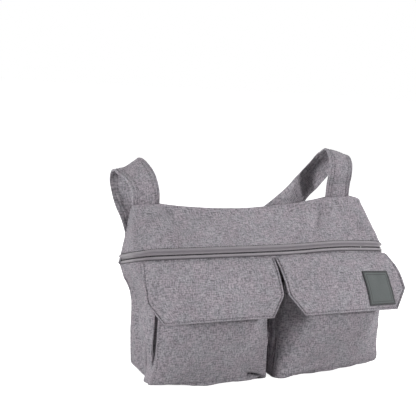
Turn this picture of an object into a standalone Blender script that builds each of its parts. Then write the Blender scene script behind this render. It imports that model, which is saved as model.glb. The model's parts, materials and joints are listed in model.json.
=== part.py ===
"""Stroller organizer: a soft zipped bag with two flapped bellows pockets and two wrap-over straps.

Metres, +Z up. X runs along the handlebar that the bag hangs on, and the front faces -Y. The origin is
the centre of the base. Depths are given as v, the distance forward of the back panel's outer face.
Soft pieces are laid out straight first and then hung by one function, which lets the top edge sag
between the straps, the zip's ends dip towards the back and the base's ends lift.
"""

import math

import bpy
import numpy as np
from mathutils import Matrix, Vector

# Cloth and clearances
PANEL = 0.0025  # padded wall: shell cloth, foam and lining
BASE_PANEL = 0.003
FLAP_CLOTH = 0.002
POCKET_CLOTH = 0.0022
GUSSET_CLOTH = 0.0014
STRAP_CLOTH = 0.003
FASTENER = 0.0012  # hook-and-loop tape
SEAM = 0.0003  # what sewn edges leave between them

# Body, from the base to the top seam
BASE_WIDTH = 0.312
BASE_DEPTH = 0.058
LOW_DEPTH = 0.060  # halfway up to the middle
LOW_WIDTH = 0.317
MIDDLE_WIDTH = 0.320
MIDDLE_DEPTH = 0.063
MIDDLE_HEIGHT = 0.095
ZIP_WIDTH = 0.353
ZIP_DEPTH = 0.066
ZIP_HEIGHT = 0.155
TOP_WIDTH = 0.332
TOP_DEPTH = 0.0065
TOP_HEIGHT = 0.2158
YOKE_WIDTH = 0.342
YOKE_DEPTH = 0.037
LOW_CORNER = 0.005
MIDDLE_CORNER = 0.006
ZIP_CORNER = 0.020
YOKE_CORNER = 0.014
TOP_CORNER = 0.003

# How it hangs
BASE_RISE = 0.007
BASE_FLAT = 0.140
TOP_SAG = 0.0105
TOP_TILT = 0.0045
CORNER_DROP = 0.006
ZIP_END_DROP = 0.019
ZIP_END_FLAT = 0.006  # the ends have dipped fully this far inside the widest point

# Zip
TAPE = 0.0012
TAPE_INSET = 0.0005
LOWER_TAPE = 0.0046
UPPER_TAPE = 0.0079
UPPER_TAPE_LEAN = 0.006
SLOT = 0.001
COIL_WIDTH = 0.0015
COIL_THICK = 0.0015

# Slider, with its stop at the back end of the right side
SLIDER_LENGTH = 0.011
SLIDER_WIDTH = 0.0076
SLIDER_PLATE = 0.0012
NECK = 0.0005
NECK_LENGTH = 0.0025
SLIDER_PLAY = 0.0004
BRIDGE_LENGTH = 0.0068
BRIDGE_WIDTH = 0.0016
BRIDGE_HOLE = 0.0018
BRIDGE_THICK = 0.0008
POST = 0.0010
PULL_LENGTH = 0.024
PULL_WIDTH = 0.007
PULL_THICK = 0.001
PULL_EYE = 0.0034
PULL_EYE_WIDTH = 0.003
STOP_LENGTH = 0.003
STOP_WIDTH = 0.0036
STOP_THICK = 0.001
STOP_PLACE = 0.0045

# Pockets
POCKET_HEIGHT = 0.122
POCKET_FOOT_WIDTH = 0.005
POCKET_FOOT_HEIGHT = 0.040
POCKET_OUTER = 0.158
POCKET_INNER = 0.005
POCKET_LEAN = 0.010
POCKET_CORNER = 0.006
POCKET_FOOT_DEPTH = 0.087
POCKET_EDGE_DEPTH = 0.092
POCKET_LOW_DEPTH = 0.103
POCKET_LOW_HEIGHT = 0.041
POCKET_FULL_DEPTH = 0.110
POCKET_FULL_HEIGHT = 0.0805
POCKET_MOUTH_DEPTH = 0.0955
BELLOWS_OUT = 0.0055
BELLOWS_INNER = 0.0022
BELLOWS_IN = 0.004
BELLOWS_SPAN = 0.75  # the fold's share of the gusset's depth, from the body

# Flaps
FLAP_OUTER = 0.1795
FLAP_TOP_OUTER = 0.1715
FLAP_GAP_X = 0.003
FLAP_GAP = 0.0075
FLAP_TOP_GAP = 0.002
FLAP_CHAMFER = 0.0185
FLAP_WIDE_HEIGHT = 0.115
FLAP_FOOT_HEIGHT = 0.0915
FLAP_FULL_DEPTH = 0.119
FLAP_WIDE_DEPTH = 0.106
FLAP_SHOULDER_DROP = 0.016
FLAP_SHOULDER_SHARE = 0.3  # shares of the flap's length, from its seam
FLAP_WIDE_SHARE = 0.65
FLAP_FASTENER = 0.080
FLAP_FASTENER_HEIGHT = 0.018
FASTENER_ABOVE_FOOT = 0.002
HOOK_SHARES = (0.72, 0.94)

# Label patch on the right flap
LABEL_X = 0.139
LABEL_WIDTH = 0.039
LABEL_SHARES = (0.37, 0.92)
LABEL_THICK = 0.001

# Straps
STRAP_WIDTH = 0.035
STRAP_LEFT_X = -0.1466
STRAP_RIGHT_X = 0.1305
STRAP_SEAM_DEPTH = 0.003
STRAP_MARGIN = 0.003  # from a strap's edge to its fastener
PATCH_WIDTH = 0.020
PATCH_SHARES = (0.11, 0.27)  # of the strap's length, from its seam
TAIL_SHARES = (0.92, 0.99)
BACK_LOOP_SIZE = 0.046
TAIL_DEPTH = SEAM + FASTENER + SEAM + FASTENER + SEAM + STRAP_CLOTH / 2

GREY = (0.27, 0.25, 0.265, 1.0)
SOFT_PIECES = []


def clear_scene():
    for obj in list(bpy.data.objects):
        bpy.data.objects.remove(obj, do_unlink=True)


def make_material(name, colour, roughness=0.9, metallic=0.0):
    material = bpy.data.materials.new(name)
    material.use_nodes = True
    shader = material.node_tree.nodes["Principled BSDF"]
    shader.inputs["Base Color"].default_value = colour
    shader.inputs["Roughness"].default_value = roughness
    shader.inputs["Metallic"].default_value = metallic
    material.diffuse_color = colour
    return material


def at(x, v, z):
    """A point in the frame, from its depth v forward of the back panel's outer face."""
    return Vector((x, BASE_DEPTH / 2 - v, z))


def share_of(value, low, high):
    return min(max((value - low) / (high - low), 0.0), 1.0)


def through(knots, t):
    """Values at t on a smooth curve through knots, each (t, value, value...)."""
    table = np.array(knots, float)
    slopes = np.gradient(table[:, 1:], table[:, 0], axis=0)
    i = int(np.clip(np.searchsorted(table[:, 0], t) - 1, 0, len(table) - 2))
    step = table[i + 1, 0] - table[i, 0]
    f = (t - table[i, 0]) / step
    start = (1 + 2 * f) * (1 - f) ** 2 * table[i, 1:] + f * (1 - f) ** 2 * step * slopes[i]
    end = f * f * (3 - 2 * f) * table[i + 1, 1:] - f * f * (1 - f) * step * slopes[i + 1]
    return start + end


def place_in(obj, name, material):
    obj.name = name
    obj.data.name = name
    obj.data.materials.clear()
    obj.data.materials.append(material)
    for collection in list(obj.users_collection):
        collection.objects.unlink(obj)
    ORGANIZER.objects.link(obj)


def sheet(name, shape, across, up, thick, material, offset=-1.0):
    """A cloth panel: a grid laid on shape(s, t), then given its thickness behind that surface."""
    columns = len(across) - 1
    rows = len(up) - 1
    bpy.ops.mesh.primitive_grid_add(x_subdivisions=columns, y_subdivisions=rows, size=1)
    obj = bpy.context.object
    for vertex in obj.data.vertices:
        column = round((vertex.co.x + 0.5) * columns)
        row = round((vertex.co.y + 0.5) * rows)
        vertex.co = shape(across[column], up[row])
    wall = obj.modifiers.new("cloth", "SOLIDIFY")
    wall.thickness = thick
    wall.offset = offset
    wall.use_even_offset = True
    place_in(obj, name, material)
    obj.data.shade_smooth()
    return obj


def soft_sheet(*arguments):
    obj = sheet(*arguments)
    SOFT_PIECES.append(obj)
    return obj


def wall(name, shape, across, up, material):
    """A body panel between its outside, shape(s, t, 0), and its lining, shape(s, t, 1)."""
    outside = sheet(name, lambda s, t: shape(s, t, 0), across, up, PANEL, material)
    columns = len(across) - 1
    rows = len(up) - 1
    mesh = bpy.data.meshes.new_from_object(evaluated(outside))
    outside.modifiers.clear()
    outside.data = mesh
    count = len(mesh.vertices) // 2
    for i in range(count):
        row, column = divmod(i, columns + 1)
        mesh.vertices[i + count].co = shape(across[column], up[row], 1)
    assert row == rows
    SOFT_PIECES.append(outside)


def hung(x, v, z):
    """Where the hanging bag carries a point of the straight one."""
    lift = BASE_RISE * share_of(abs(x), BASE_FLAT / 2, BASE_WIDTH / 2) ** 2
    lift *= (1 - share_of(z, 0, MIDDLE_HEIGHT)) ** 2
    end = share_of(abs(x), ZIP_WIDTH / 2 - ZIP_CORNER, ZIP_WIDTH / 2 - ZIP_END_FLAT)
    dip = ZIP_END_DROP * end * (1 - share_of(v, 0, ZIP_DEPTH))
    band_top = ZIP_HEIGHT + LOWER_TAPE + UPPER_TAPE
    dip *= share_of(z, 0, ZIP_HEIGHT) * (1 - share_of(z, band_top, TOP_HEIGHT))
    return z + lift - dip + top_shift(x) * share_of(z, band_top, TOP_HEIGHT)


def top_shift(x):
    """How far the top edge lies above its straight height at x."""
    left = STRAP_LEFT_X + STRAP_WIDTH / 2
    right = STRAP_RIGHT_X - STRAP_WIDTH / 2
    across = (2 * x - left - right) / (right - left)
    sag = TOP_SAG * max(1 - across * across, 0)
    left_end = share_of(-x, STRAP_WIDTH / 2 - STRAP_LEFT_X, TOP_WIDTH / 2)
    right_end = share_of(x, STRAP_RIGHT_X + STRAP_WIDTH / 2, TOP_WIDTH / 2)
    return TOP_TILT * 2 * x / TOP_WIDTH - sag - CORNER_DROP * max(left_end, right_end) ** 2


def evaluated(obj):
    return obj.evaluated_get(bpy.context.evaluated_depsgraph_get())


def hang(obj):
    """Fixes the piece's modifiers into its mesh and moves each point to where it hangs."""
    mesh = bpy.data.meshes.new_from_object(evaluated(obj))
    obj.modifiers.clear()
    obj.data = mesh
    mesh.name = obj.name
    for vertex in mesh.vertices:
        x, y, z = vertex.co
        vertex.co.z = hung(x, BASE_DEPTH / 2 - y, z)


def body_section(z):
    """Half width, depth and corner radius of the body's outside at height z."""
    band_top = ZIP_HEIGHT + LOWER_TAPE + UPPER_TAPE
    if z <= ZIP_HEIGHT:
        knots = (
            (0, BASE_WIDTH / 2, BASE_DEPTH, LOW_CORNER),
            (MIDDLE_HEIGHT / 2, LOW_WIDTH / 2, LOW_DEPTH, LOW_CORNER),
            (MIDDLE_HEIGHT, MIDDLE_WIDTH / 2, MIDDLE_DEPTH, MIDDLE_CORNER),
            (ZIP_HEIGHT, ZIP_WIDTH / 2, ZIP_DEPTH, ZIP_CORNER),
        )
    else:
        knots = (
            (band_top, ZIP_WIDTH / 2, ZIP_DEPTH - UPPER_TAPE_LEAN, ZIP_CORNER),
            ((band_top + TOP_HEIGHT) / 2, YOKE_WIDTH / 2, YOKE_DEPTH, YOKE_CORNER),
            (TOP_HEIGHT, TOP_WIDTH / 2, TOP_DEPTH, TOP_CORNER),
        )
    return through(knots, z)


def band_section(z):
    """The same for the zip band, which leans back in a straight line."""
    lean = UPPER_TAPE_LEAN * share_of(z, ZIP_HEIGHT, ZIP_HEIGHT + LOWER_TAPE + UPPER_TAPE)
    return ZIP_WIDTH / 2, ZIP_DEPTH - lean, ZIP_CORNER


def wrap(section, u, inset=0.0, shift=0.0):
    """(x, v) on the body's plan. u counts left side, left corner, front, right corner, right side."""
    half, depth, radius = section
    half = half - inset
    depth = depth - inset
    radius = radius - inset
    if u > 2.5:
        x, v = wrap((half, depth, radius), 5 - u, 0.0, -shift)
        return -x, v
    start = PANEL + SEAM
    runs = (depth - start - radius, radius * math.pi / 2, 2 * (half - radius))
    part = min(int(u), 2)
    f = u - part + shift / runs[part]
    if part == 0:
        return -half, start + f * runs[0]
    if part == 1:
        turn = f * math.pi / 2
        return -half + radius * (1 - math.cos(turn)), depth - radius * (1 - math.sin(turn))
    return -half + radius + f * runs[2], depth


def stations(*spans):
    """Values that run through spans, each (start, end, count), with shared ends given once."""
    values = [spans[0][0]]
    for start, end, count in spans:
        values += list(np.linspace(start, end, count + 1)[1:])
    return values


def make_walls(cloth):
    low = BASE_PANEL + SEAM
    up = stations((low, MIDDLE_HEIGHT, 4), (MIDDLE_HEIGHT, ZIP_HEIGHT - SEAM, 4))

    def side_left(u, z, inside):
        return at(*wrap(body_section(z), u, inside * PANEL, -SEAM / 2 if u == 1.5 else 0.0), z)

    def side_right(u, z, inside):
        return at(*wrap(body_section(z), u, inside * PANEL, SEAM / 2 if u == 3.5 else 0.0), z)

    def front(u, z, inside):
        shift = {1.5: SEAM / 2, 3.5: -SEAM / 2}.get(u, 0.0)
        return at(*wrap(body_section(z), u, inside * PANEL, shift), z)

    wall("side_left", side_left, stations((0, 1, 3), (1, 1.5, 3)), up, cloth)
    wall("side_right", side_right, stations((3.5, 4, 3), (4, 5, 3)), up, cloth)
    wall("front_panel", front, stations((1.5, 2, 3), (2, 3, 16), (3, 3.5, 3)), up, cloth)


def make_yoke(cloth):
    band_top = ZIP_HEIGHT + LOWER_TAPE + UPPER_TAPE
    columns = stations((0, 1, 2), (1, 2, 5), (2, 3, 22), (3, 4, 5), (4, 5, 2))
    up = stations((band_top + SEAM, TOP_HEIGHT, 7))

    def yoke(u, z, inside):
        return at(*wrap(body_section(z), u, inside * PANEL), z)

    wall("yoke", yoke, columns, up, cloth)


def make_back_and_base(cloth):
    def back(s, z):
        return at(-s * body_section(z)[0], 0, z)

    up = stations((BASE_PANEL + SEAM, MIDDLE_HEIGHT, 3), (MIDDLE_HEIGHT, TOP_HEIGHT, 7))
    near_end = 1 - ZIP_CORNER / (TOP_WIDTH / 2)
    columns = stations((-1, -near_end, 4), (-near_end, near_end, 18), (near_end, 1, 4))
    soft_sheet("back_panel", back, columns, up, PANEL, cloth)

    def base(s, v):
        half, depth, radius = body_section(0)
        into_corner = max(v - (depth - radius), 0)
        half_here = half - radius + math.sqrt(max(radius**2 - into_corner**2, 0))
        return at(s * half_here, v, 0)

    corner = BASE_DEPTH - LOW_CORNER
    rows = stations((0, corner, 3), (corner, BASE_DEPTH, 3))
    soft_sheet("base", base, stations((-1, 1, 26)), rows, BASE_PANEL, cloth)


def make_zip(tape, coil, metal):
    centre = ZIP_HEIGHT + LOWER_TAPE
    top = centre + UPPER_TAPE
    columns = stations((0, 1, 1), (1, 2, 5), (2, 3, 14), (3, 4, 5), (4, 5, 1))

    def strip(name, low, high, inset, thick, material):
        def band(u, z, inside):
            return at(*wrap(band_section(z), u, inset + inside * thick), z)

        wall(name, band, columns, [low, high], material)

    strip("zip_tape_lower", ZIP_HEIGHT, centre - SLOT / 2, TAPE_INSET, TAPE, tape)
    strip("zip_tape_upper", centre + SLOT / 2, top, TAPE_INSET, TAPE, tape)
    inside = TAPE_INSET + TAPE + SEAM
    low = centre - SLOT / 2
    high = centre + SLOT / 2
    strip("zip_coil_lower", low - COIL_WIDTH, low, inside, COIL_THICK, coil)
    strip("zip_coil_upper", high, high + COIL_WIDTH, inside, COIL_THICK, coil)

    for name, side in (("zip_stop_left", -1), ("zip_stop_right", 1)):
        bpy.ops.mesh.primitive_cube_add(size=1)
        stop = bpy.context.object
        across = side * (ZIP_WIDTH / 2 - TAPE_INSET + SEAM + STOP_THICK / 2)
        stop.data.transform(Matrix.Diagonal((STOP_THICK, STOP_LENGTH, STOP_WIDTH, 1)))
        stop.data.transform(Matrix.Translation(at(across, STOP_PLACE, centre)))
        place_in(stop, name, metal)
        SOFT_PIECES.append(stop)


def slider_frame():
    """The slider's place and directions: travel along the right side, outwards, and across the tape."""
    slope = ZIP_END_DROP / ZIP_DEPTH
    travel = Vector((0, -1, slope)).normalized()
    outwards = Vector((1, 0, 0))
    across = travel.cross(outwards)
    v = STOP_PLACE + STOP_LENGTH / 2 + SLIDER_PLAY + SLIDER_LENGTH / 2 + NECK
    x = ZIP_WIDTH / 2 - TAPE_INSET
    place = at(x, v, hung(ZIP_WIDTH / 2, v, ZIP_HEIGHT + LOWER_TAPE))
    turn = Matrix((travel, outwards, across)).transposed().to_4x4()
    return Matrix.Translation(place) @ turn


def block(size, centre):
    """A box in the slider's own directions, as a loose object for a union."""
    bpy.ops.mesh.primitive_cube_add(size=1)
    obj = bpy.context.object
    obj.data.transform(Matrix.Translation(centre) @ Matrix.Diagonal((*size, 1)))
    return obj


def joined(name, blocks, material, operation="UNION"):
    """One solid from the first block and the others."""
    whole = blocks[0]
    for other in blocks[1:]:
        union = whole.modifiers.new(other.name, "BOOLEAN")
        union.operation = operation
        union.object = other
        other.hide_render = True
        other.display_type = "WIRE"
        for collection in list(other.users_collection):
            collection.objects.unlink(other)
        CUTTERS.objects.link(other)
        other.parent = whole
    place_in(whole, name, material)
    return whole


def make_slider(metal):
    outer = SLIDER_PLAY + SLIDER_PLATE / 2
    depth = TAPE + SEAM + COIL_THICK + SLIDER_PLAY
    inner = -depth - SLIDER_PLATE / 2
    plate = (SLIDER_LENGTH, SLIDER_PLATE, SLIDER_WIDTH)
    neck_height = depth + SLIDER_PLAY + SLIDER_PLATE
    bridge_top = SLIDER_PLAY + SLIDER_PLATE + BRIDGE_HOLE + BRIDGE_THICK
    post_height = BRIDGE_HOLE + BRIDGE_THICK + SLIDER_PLATE / 2
    post_place = (BRIDGE_LENGTH - POST) / 2
    blocks = [
        block(plate, (0, outer, 0)),
        block(plate, (0, inner, 0)),
        block((NECK_LENGTH, neck_height, NECK), (0, (outer + inner) / 2, 0)),
        block((POST, post_height, BRIDGE_WIDTH), (post_place, bridge_top - post_height / 2, 0)),
        block((POST, post_height, BRIDGE_WIDTH), (-post_place, bridge_top - post_height / 2, 0)),
        block((BRIDGE_LENGTH, BRIDGE_THICK, BRIDGE_WIDTH), (0, bridge_top - BRIDGE_THICK / 2, 0)),
    ]
    slider = joined("zip_slider", blocks, metal)
    slider.matrix_world = slider_frame()

    crossbar = PULL_THICK
    arm = (PULL_LENGTH, PULL_THICK, PULL_WIDTH)
    eye = (PULL_EYE, 3 * PULL_THICK, PULL_EYE_WIDTH)
    puller = joined(
        "zip_puller",
        [
            block(arm, ((PULL_LENGTH - crossbar) / 2, 0, 0)),
            block(eye, ((PULL_EYE + crossbar) / 2, 0, 0)),
        ],
        metal,
        "DIFFERENCE",
    )
    pivot = SLIDER_PLAY + SLIDER_PLATE + BRIDGE_HOLE / 2
    puller.parent = slider
    puller.matrix_parent_inverse = Matrix.Identity(4)
    puller.location = (0, pivot, 0)


def pocket_edges(z):
    """Outer and inner edge of a pocket's face, as distances from the bag's middle."""
    foot = POCKET_FOOT_WIDTH * (1 - share_of(z, 0, POCKET_FOOT_HEIGHT)) ** 2
    return POCKET_OUTER + foot, POCKET_INNER + POCKET_LEAN * share_of(z, 0, POCKET_HEIGHT)


def face_depth(across, z):
    """Depth of the pocket's outside where across runs from -1 to 1 over its width."""
    share = share_of(z, 0, POCKET_HEIGHT)
    edge = POCKET_FOOT_DEPTH + (POCKET_EDGE_DEPTH - POCKET_FOOT_DEPTH) * share
    knots = (
        (0, POCKET_FOOT_DEPTH),
        (POCKET_LOW_HEIGHT, POCKET_LOW_DEPTH),
        (POCKET_FULL_HEIGHT, POCKET_FULL_DEPTH),
        (POCKET_HEIGHT, POCKET_MOUTH_DEPTH),
    )
    full = through(knots, z)[0]
    return edge + (full - edge) * (1 - abs(across) ** 3)


def face_at(distance, z):
    """The face's depth at a distance from the bag's middle, and how much it slants there."""

    def depth_at(where, height):
        outer, inner = pocket_edges(height)
        return face_depth((2 * where - outer - inner) / (outer - inner), height)

    step = 0.0005
    here = depth_at(distance, z)
    along = (depth_at(distance + step, z) - here) / step
    up = (depth_at(distance, z + step) - here) / step
    return here, math.sqrt(1 + along * along + up * up)


def boxing(q, outer, inner):
    """(distance, z) on the gusset's U: outer side down, corner, bottom, corner, inner side up."""
    part = min(int(q), 4)
    f = q - part
    r = POCKET_CORNER
    turn = f * math.pi / 2
    if part == 0:
        return outer, POCKET_HEIGHT + (r - POCKET_HEIGHT) * f
    if part == 1:
        return outer - r + r * math.cos(turn), r - r * math.sin(turn)
    if part == 2:
        return outer - r + (inner - outer + 2 * r) * f, 0.0
    if part == 3:
        return inner + r - r * math.sin(turn), r - r * math.cos(turn)
    return inner, r + (POCKET_HEIGHT - r) * f


def make_pocket(side, name, cloth, fastener):
    def face(s, z):
        outer, inner = pocket_edges(z)
        across = s if side < 0 else -s
        distance = (outer + inner) / 2 - across * (outer - inner) / 2
        return at(side * distance, face_depth(across, z), z)

    def gusset(q, t):
        q = q if side < 0 else 5 - q
        outer, inner = pocket_edges(boxing(q, POCKET_OUTER, POCKET_INNER)[1])
        wall_outer = BASE_WIDTH / 2 - LOW_CORNER
        fold = math.sin(math.pi * min(t / BELLOWS_SPAN, 1)) ** 2
        tuck = BELLOWS_IN * t * t
        outer_here = wall_outer + (outer - wall_outer) * t + BELLOWS_OUT * fold - tuck
        inner_here = POCKET_INNER + (inner - POCKET_INNER) * t - BELLOWS_INNER * fold + tuck
        distance, z = boxing(q, outer_here, inner_here)
        rear = body_section(max(z, 0))[1] + SEAM
        depth, slant = face_at(distance, z)
        front = depth - POCKET_CLOTH * slant - 2 * SEAM
        return at(side * distance, rear + (front - rear) * t, z)

    up = stations((0, POCKET_FOOT_HEIGHT, 4), (POCKET_FOOT_HEIGHT, POCKET_HEIGHT, 6))
    soft_sheet(f"pocket_{name}_face", face, stations((-1, 1, 16)), up, POCKET_CLOTH, cloth)
    around = stations((0, 1, 7), (1, 2, 3), (2, 3, 10), (3, 4, 3), (4, 5, 7))
    soft_sheet(f"pocket_{name}_gusset", gusset, around, stations((0, 1, 6)), GUSSET_CLOTH, cloth)

    middle = (POCKET_OUTER + POCKET_INNER) / 2
    low = FLAP_FOOT_HEIGHT + FASTENER_ABOVE_FOOT

    def loop(x, z):
        depth, slant = face_at(side * x, z)
        return at(x, depth + (2 * SEAM + FASTENER) * slant, z)

    across = stations((side * middle - FLAP_FASTENER / 2, side * middle + FLAP_FASTENER / 2, 8))
    up = stations((low, low + FLAP_FASTENER_HEIGHT, 3))
    soft_sheet(f"pocket_{name}_loop", loop, across, up, FASTENER, fastener)


def flap_profile(t):
    """(z, v) of a flap's outside from its seam, t = 0, to its foot, t = 1."""
    start = ZIP_DEPTH + SEAM + FLAP_CLOTH
    knots = (
        (0, ZIP_HEIGHT - 2 * SEAM, start),
        (FLAP_SHOULDER_SHARE, ZIP_HEIGHT - FLAP_SHOULDER_DROP, (start + FLAP_WIDE_DEPTH) / 2),
        (FLAP_WIDE_SHARE, FLAP_WIDE_HEIGHT, FLAP_WIDE_DEPTH),
        (1, FLAP_FOOT_HEIGHT, FLAP_FULL_DEPTH),
    )
    return through(knots, t)


def flap_point(side, s, t, offset=0.0):
    """A point on a flap's outside, s from 0 at its left edge to 1 at its right one."""
    wide = share_of(t, 0, FLAP_WIDE_SHARE)
    chamfer = FLAP_CHAMFER * share_of(t, FLAP_WIDE_SHARE, 1)
    gap = FLAP_TOP_GAP + (FLAP_GAP - FLAP_TOP_GAP) * wide
    outer = FLAP_TOP_OUTER + (FLAP_OUTER - FLAP_TOP_OUTER) * math.sin(wide * math.pi / 2) - chamfer
    inner = FLAP_GAP_X + side * (gap / 2 + chamfer)
    left, right = (-outer, inner) if side < 0 else (inner, outer)
    x = left + (right - left) * s
    z, v = flap_profile(t)
    past_corner = max(abs(x) - (ZIP_WIDTH / 2 - ZIP_CORNER), 0)
    back_off = ZIP_CORNER - math.sqrt(max(ZIP_CORNER**2 - past_corner**2, 0))
    return at(x, v - back_off * (1 - wide) ** 2 + offset, z)


def share_at(side, x, t):
    """The flap's s where it passes x."""
    left = flap_point(side, 0, t).x
    return (x - left) / (flap_point(side, 1, t).x - left)


def flap_outwards(side, s, t, distance):
    """The same point moved off the flap's face along its normal."""
    step = 0.01
    here = flap_point(side, s, t)
    along = flap_point(side, s + step, t) - here
    down = flap_point(side, s, t + step) - here
    normal = down.cross(along).normalized()
    return here + normal * distance


def make_flap(side, name, cloth, fastener):
    up = stations((1, FLAP_WIDE_SHARE, 4), (FLAP_WIDE_SHARE, 0, 7))
    across = stations((0, 1, 16))
    soft_sheet(f"flap_{name}", lambda s, t: flap_point(side, s, t), across, up, FLAP_CLOTH, cloth)

    below = FLAP_CLOTH + SEAM
    middle = side * (POCKET_OUTER + POCKET_INNER) / 2
    hooks = stations((middle - FLAP_FASTENER / 2, middle + FLAP_FASTENER / 2, 4))
    rows = stations((HOOK_SHARES[1], HOOK_SHARES[0], 2))

    def hook(x, t):
        return flap_outwards(side, share_at(side, x, t), t, -below)

    soft_sheet(f"flap_{name}_hook", hook, hooks, rows, FASTENER, fastener)


def make_label(cloth):
    def patch(x, t):
        return flap_outwards(1, share_at(1, x, t), t, SEAM + LABEL_THICK)

    across = stations((LABEL_X - LABEL_WIDTH / 2, LABEL_X + LABEL_WIDTH / 2, 4))
    down = stations((LABEL_SHARES[1], LABEL_SHARES[0], 5))
    soft_sheet("label", patch, across, down, LABEL_THICK, cloth)


def strap_stations(side):
    """(x, v, z) along the strap's middle, from the top seam over the bar to the tail, and the width's
    direction at each."""
    if side < 0:
        x = STRAP_LEFT_X
        points = (
            (x, STRAP_SEAM_DEPTH, 0.0005),
            (x - 0.0015, 0.0045, 0.016),
            (x - 0.0045, -0.004, 0.0285),
            (x - 0.0075, -0.018, 0.0365),
            (x - 0.0115, -0.032, 0.0415),
            (x - 0.0150, -0.0435, 0.038),
            (x - 0.0165, -0.046, 0.024),
            (x - 0.0140, -0.032, 0.000),
            (x - 0.0080, -0.010, -0.023),
            (x - 0.0030, -TAIL_DEPTH - 0.001, -0.043),
            (x, -TAIL_DEPTH, -0.075),
        )
        widths = (
            (1, 0, 0.027), (1, 0, 0.10), (0.93, 0, 0.32), (0.85, 0.03, 0.50), (0.81, 0.06, 0.58),
            (0.85, 0.0, 0.45), (0.93, 0, 0.30), (0.98, 0, 0.10), (1, 0, 0), (1, 0, 0), (1, 0, 0),
        )
    else:
        x = STRAP_RIGHT_X
        points = (
            (x, STRAP_SEAM_DEPTH, 0.0005),
            (x - 0.0010, 0.0055, 0.016),
            (x - 0.0010, 0.008, 0.032),
            (x + 0.0030, 0.000, 0.048),
            (x + 0.0095, -0.023, 0.0568),
            (x + 0.0070, -0.040, 0.046),
            (x - 0.0100, -0.040, 0.027),
            (x - 0.0380, -0.027, 0.009),
            (x - 0.0700, -0.010, -0.011),
            (x - 0.1000, -TAIL_DEPTH - 0.001, -0.031),
            (x - 0.1300, -TAIL_DEPTH, -0.051),
        )
        widths = (
            (1, 0, 0.027), (1, 0, 0), (1, 0, -0.05), (1, 0, -0.16), (1, 0, -0.24), (0.97, 0, -0.3),
            (0.85, 0.1, -0.5), (0.65, 0.15, -0.75), (0.5, 0, -0.87), (0.49, 0, -0.87), (0.49, 0, -0.87),
        )
    foot = TOP_HEIGHT + top_shift(x)
    return [(px, pv, foot + dz) for px, pv, dz in points], widths


def strap_curve(side):
    """A function of t from 0 to 1 that gives the strap's middle, its width's direction and its normal."""
    points, widths = strap_stations(side)
    knots = [(i, *at(*point), *width) for i, (point, width) in enumerate(zip(points, widths))]
    last = len(points) - 1

    def frame(t):
        values = through(knots, t * last)
        step = 0.02
        ahead = through(knots, min(t * last + step, last))
        behind = through(knots, max(t * last - step, 0))
        along = Vector(ahead[:3] - behind[:3]).normalized()
        across = Vector(values[3:]).normalized()
        return Vector(values[:3]), across, across.cross(along).normalized()

    return frame


def make_strap(side, name, cloth, fastener):
    frame = strap_curve(side)

    def ribbon(w, t):
        middle, across, _ = frame(t)
        return middle + across * w

    half = STRAP_WIDTH / 2
    width = stations((-half, half, 4))
    sheet(f"strap_{name}", ribbon, width, stations((0, 1, 44)), STRAP_CLOTH, cloth, 0.0)

    def inside(w, t):
        middle, across, normal = frame(t)
        return middle + across * w - normal * (STRAP_CLOTH / 2 + SEAM)

    patch = stations((-PATCH_WIDTH / 2, PATCH_WIDTH / 2, 2))
    along = stations((*PATCH_SHARES, 6))
    sheet(f"strap_{name}_patch", inside, patch, along, FASTENER, fastener)
    tail = stations((STRAP_MARGIN - half, half - STRAP_MARGIN, 2))
    along = stations((*TAIL_SHARES, 3))
    sheet(f"strap_{name}_hook", inside, tail, along, FASTENER, fastener)

    end, _, _ = frame(sum(TAIL_SHARES) / 2)

    def loop(s, t):
        return at(end.x - s, -SEAM - FASTENER, end.z + t)

    reach = BACK_LOOP_SIZE / 2
    square = stations((-reach, reach, 2))
    sheet(f"back_loop_{name}", loop, square, square, FASTENER, fastener)


clear_scene()
ORGANIZER = bpy.data.collections.new("stroller_organizer")
CUTTERS = bpy.data.collections.new("cutters")
bpy.context.scene.collection.children.link(ORGANIZER)
bpy.context.scene.collection.children.link(CUTTERS)

melange = make_material("melange_cloth", GREY)
satin = make_material("zip_tape_satin", (0.32, 0.29, 0.31, 1), 0.55)
nylon = make_material("zip_coil_nylon", (0.12, 0.115, 0.12, 1), 0.45)
gunmetal = make_material("slider_metal", (0.20, 0.20, 0.21, 1), 0.35, 1.0)
patch_cloth = make_material("label_cloth", (0.10, 0.115, 0.12, 1), 0.75)
hook_and_loop = make_material("hook_and_loop", (0.05, 0.05, 0.055, 1), 0.95)

make_back_and_base(melange)
make_walls(melange)
make_yoke(melange)
make_zip(satin, nylon, gunmetal)
for pocket_side, pocket_name in ((-1, "left"), (1, "right")):
    make_pocket(pocket_side, pocket_name, melange, hook_and_loop)
    make_flap(pocket_side, pocket_name, melange, hook_and_loop)
    make_strap(pocket_side, pocket_name, melange, hook_and_loop)
make_label(patch_cloth)
for piece in SOFT_PIECES:
    hang(piece)
make_slider(gunmetal)
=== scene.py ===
"""A grey stroller organizer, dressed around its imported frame. Metres, +Z up, the front faces -Y."""

import json
import math

import bmesh
import bpy
import numpy as np
from mathutils import Matrix, Vector, noise


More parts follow.
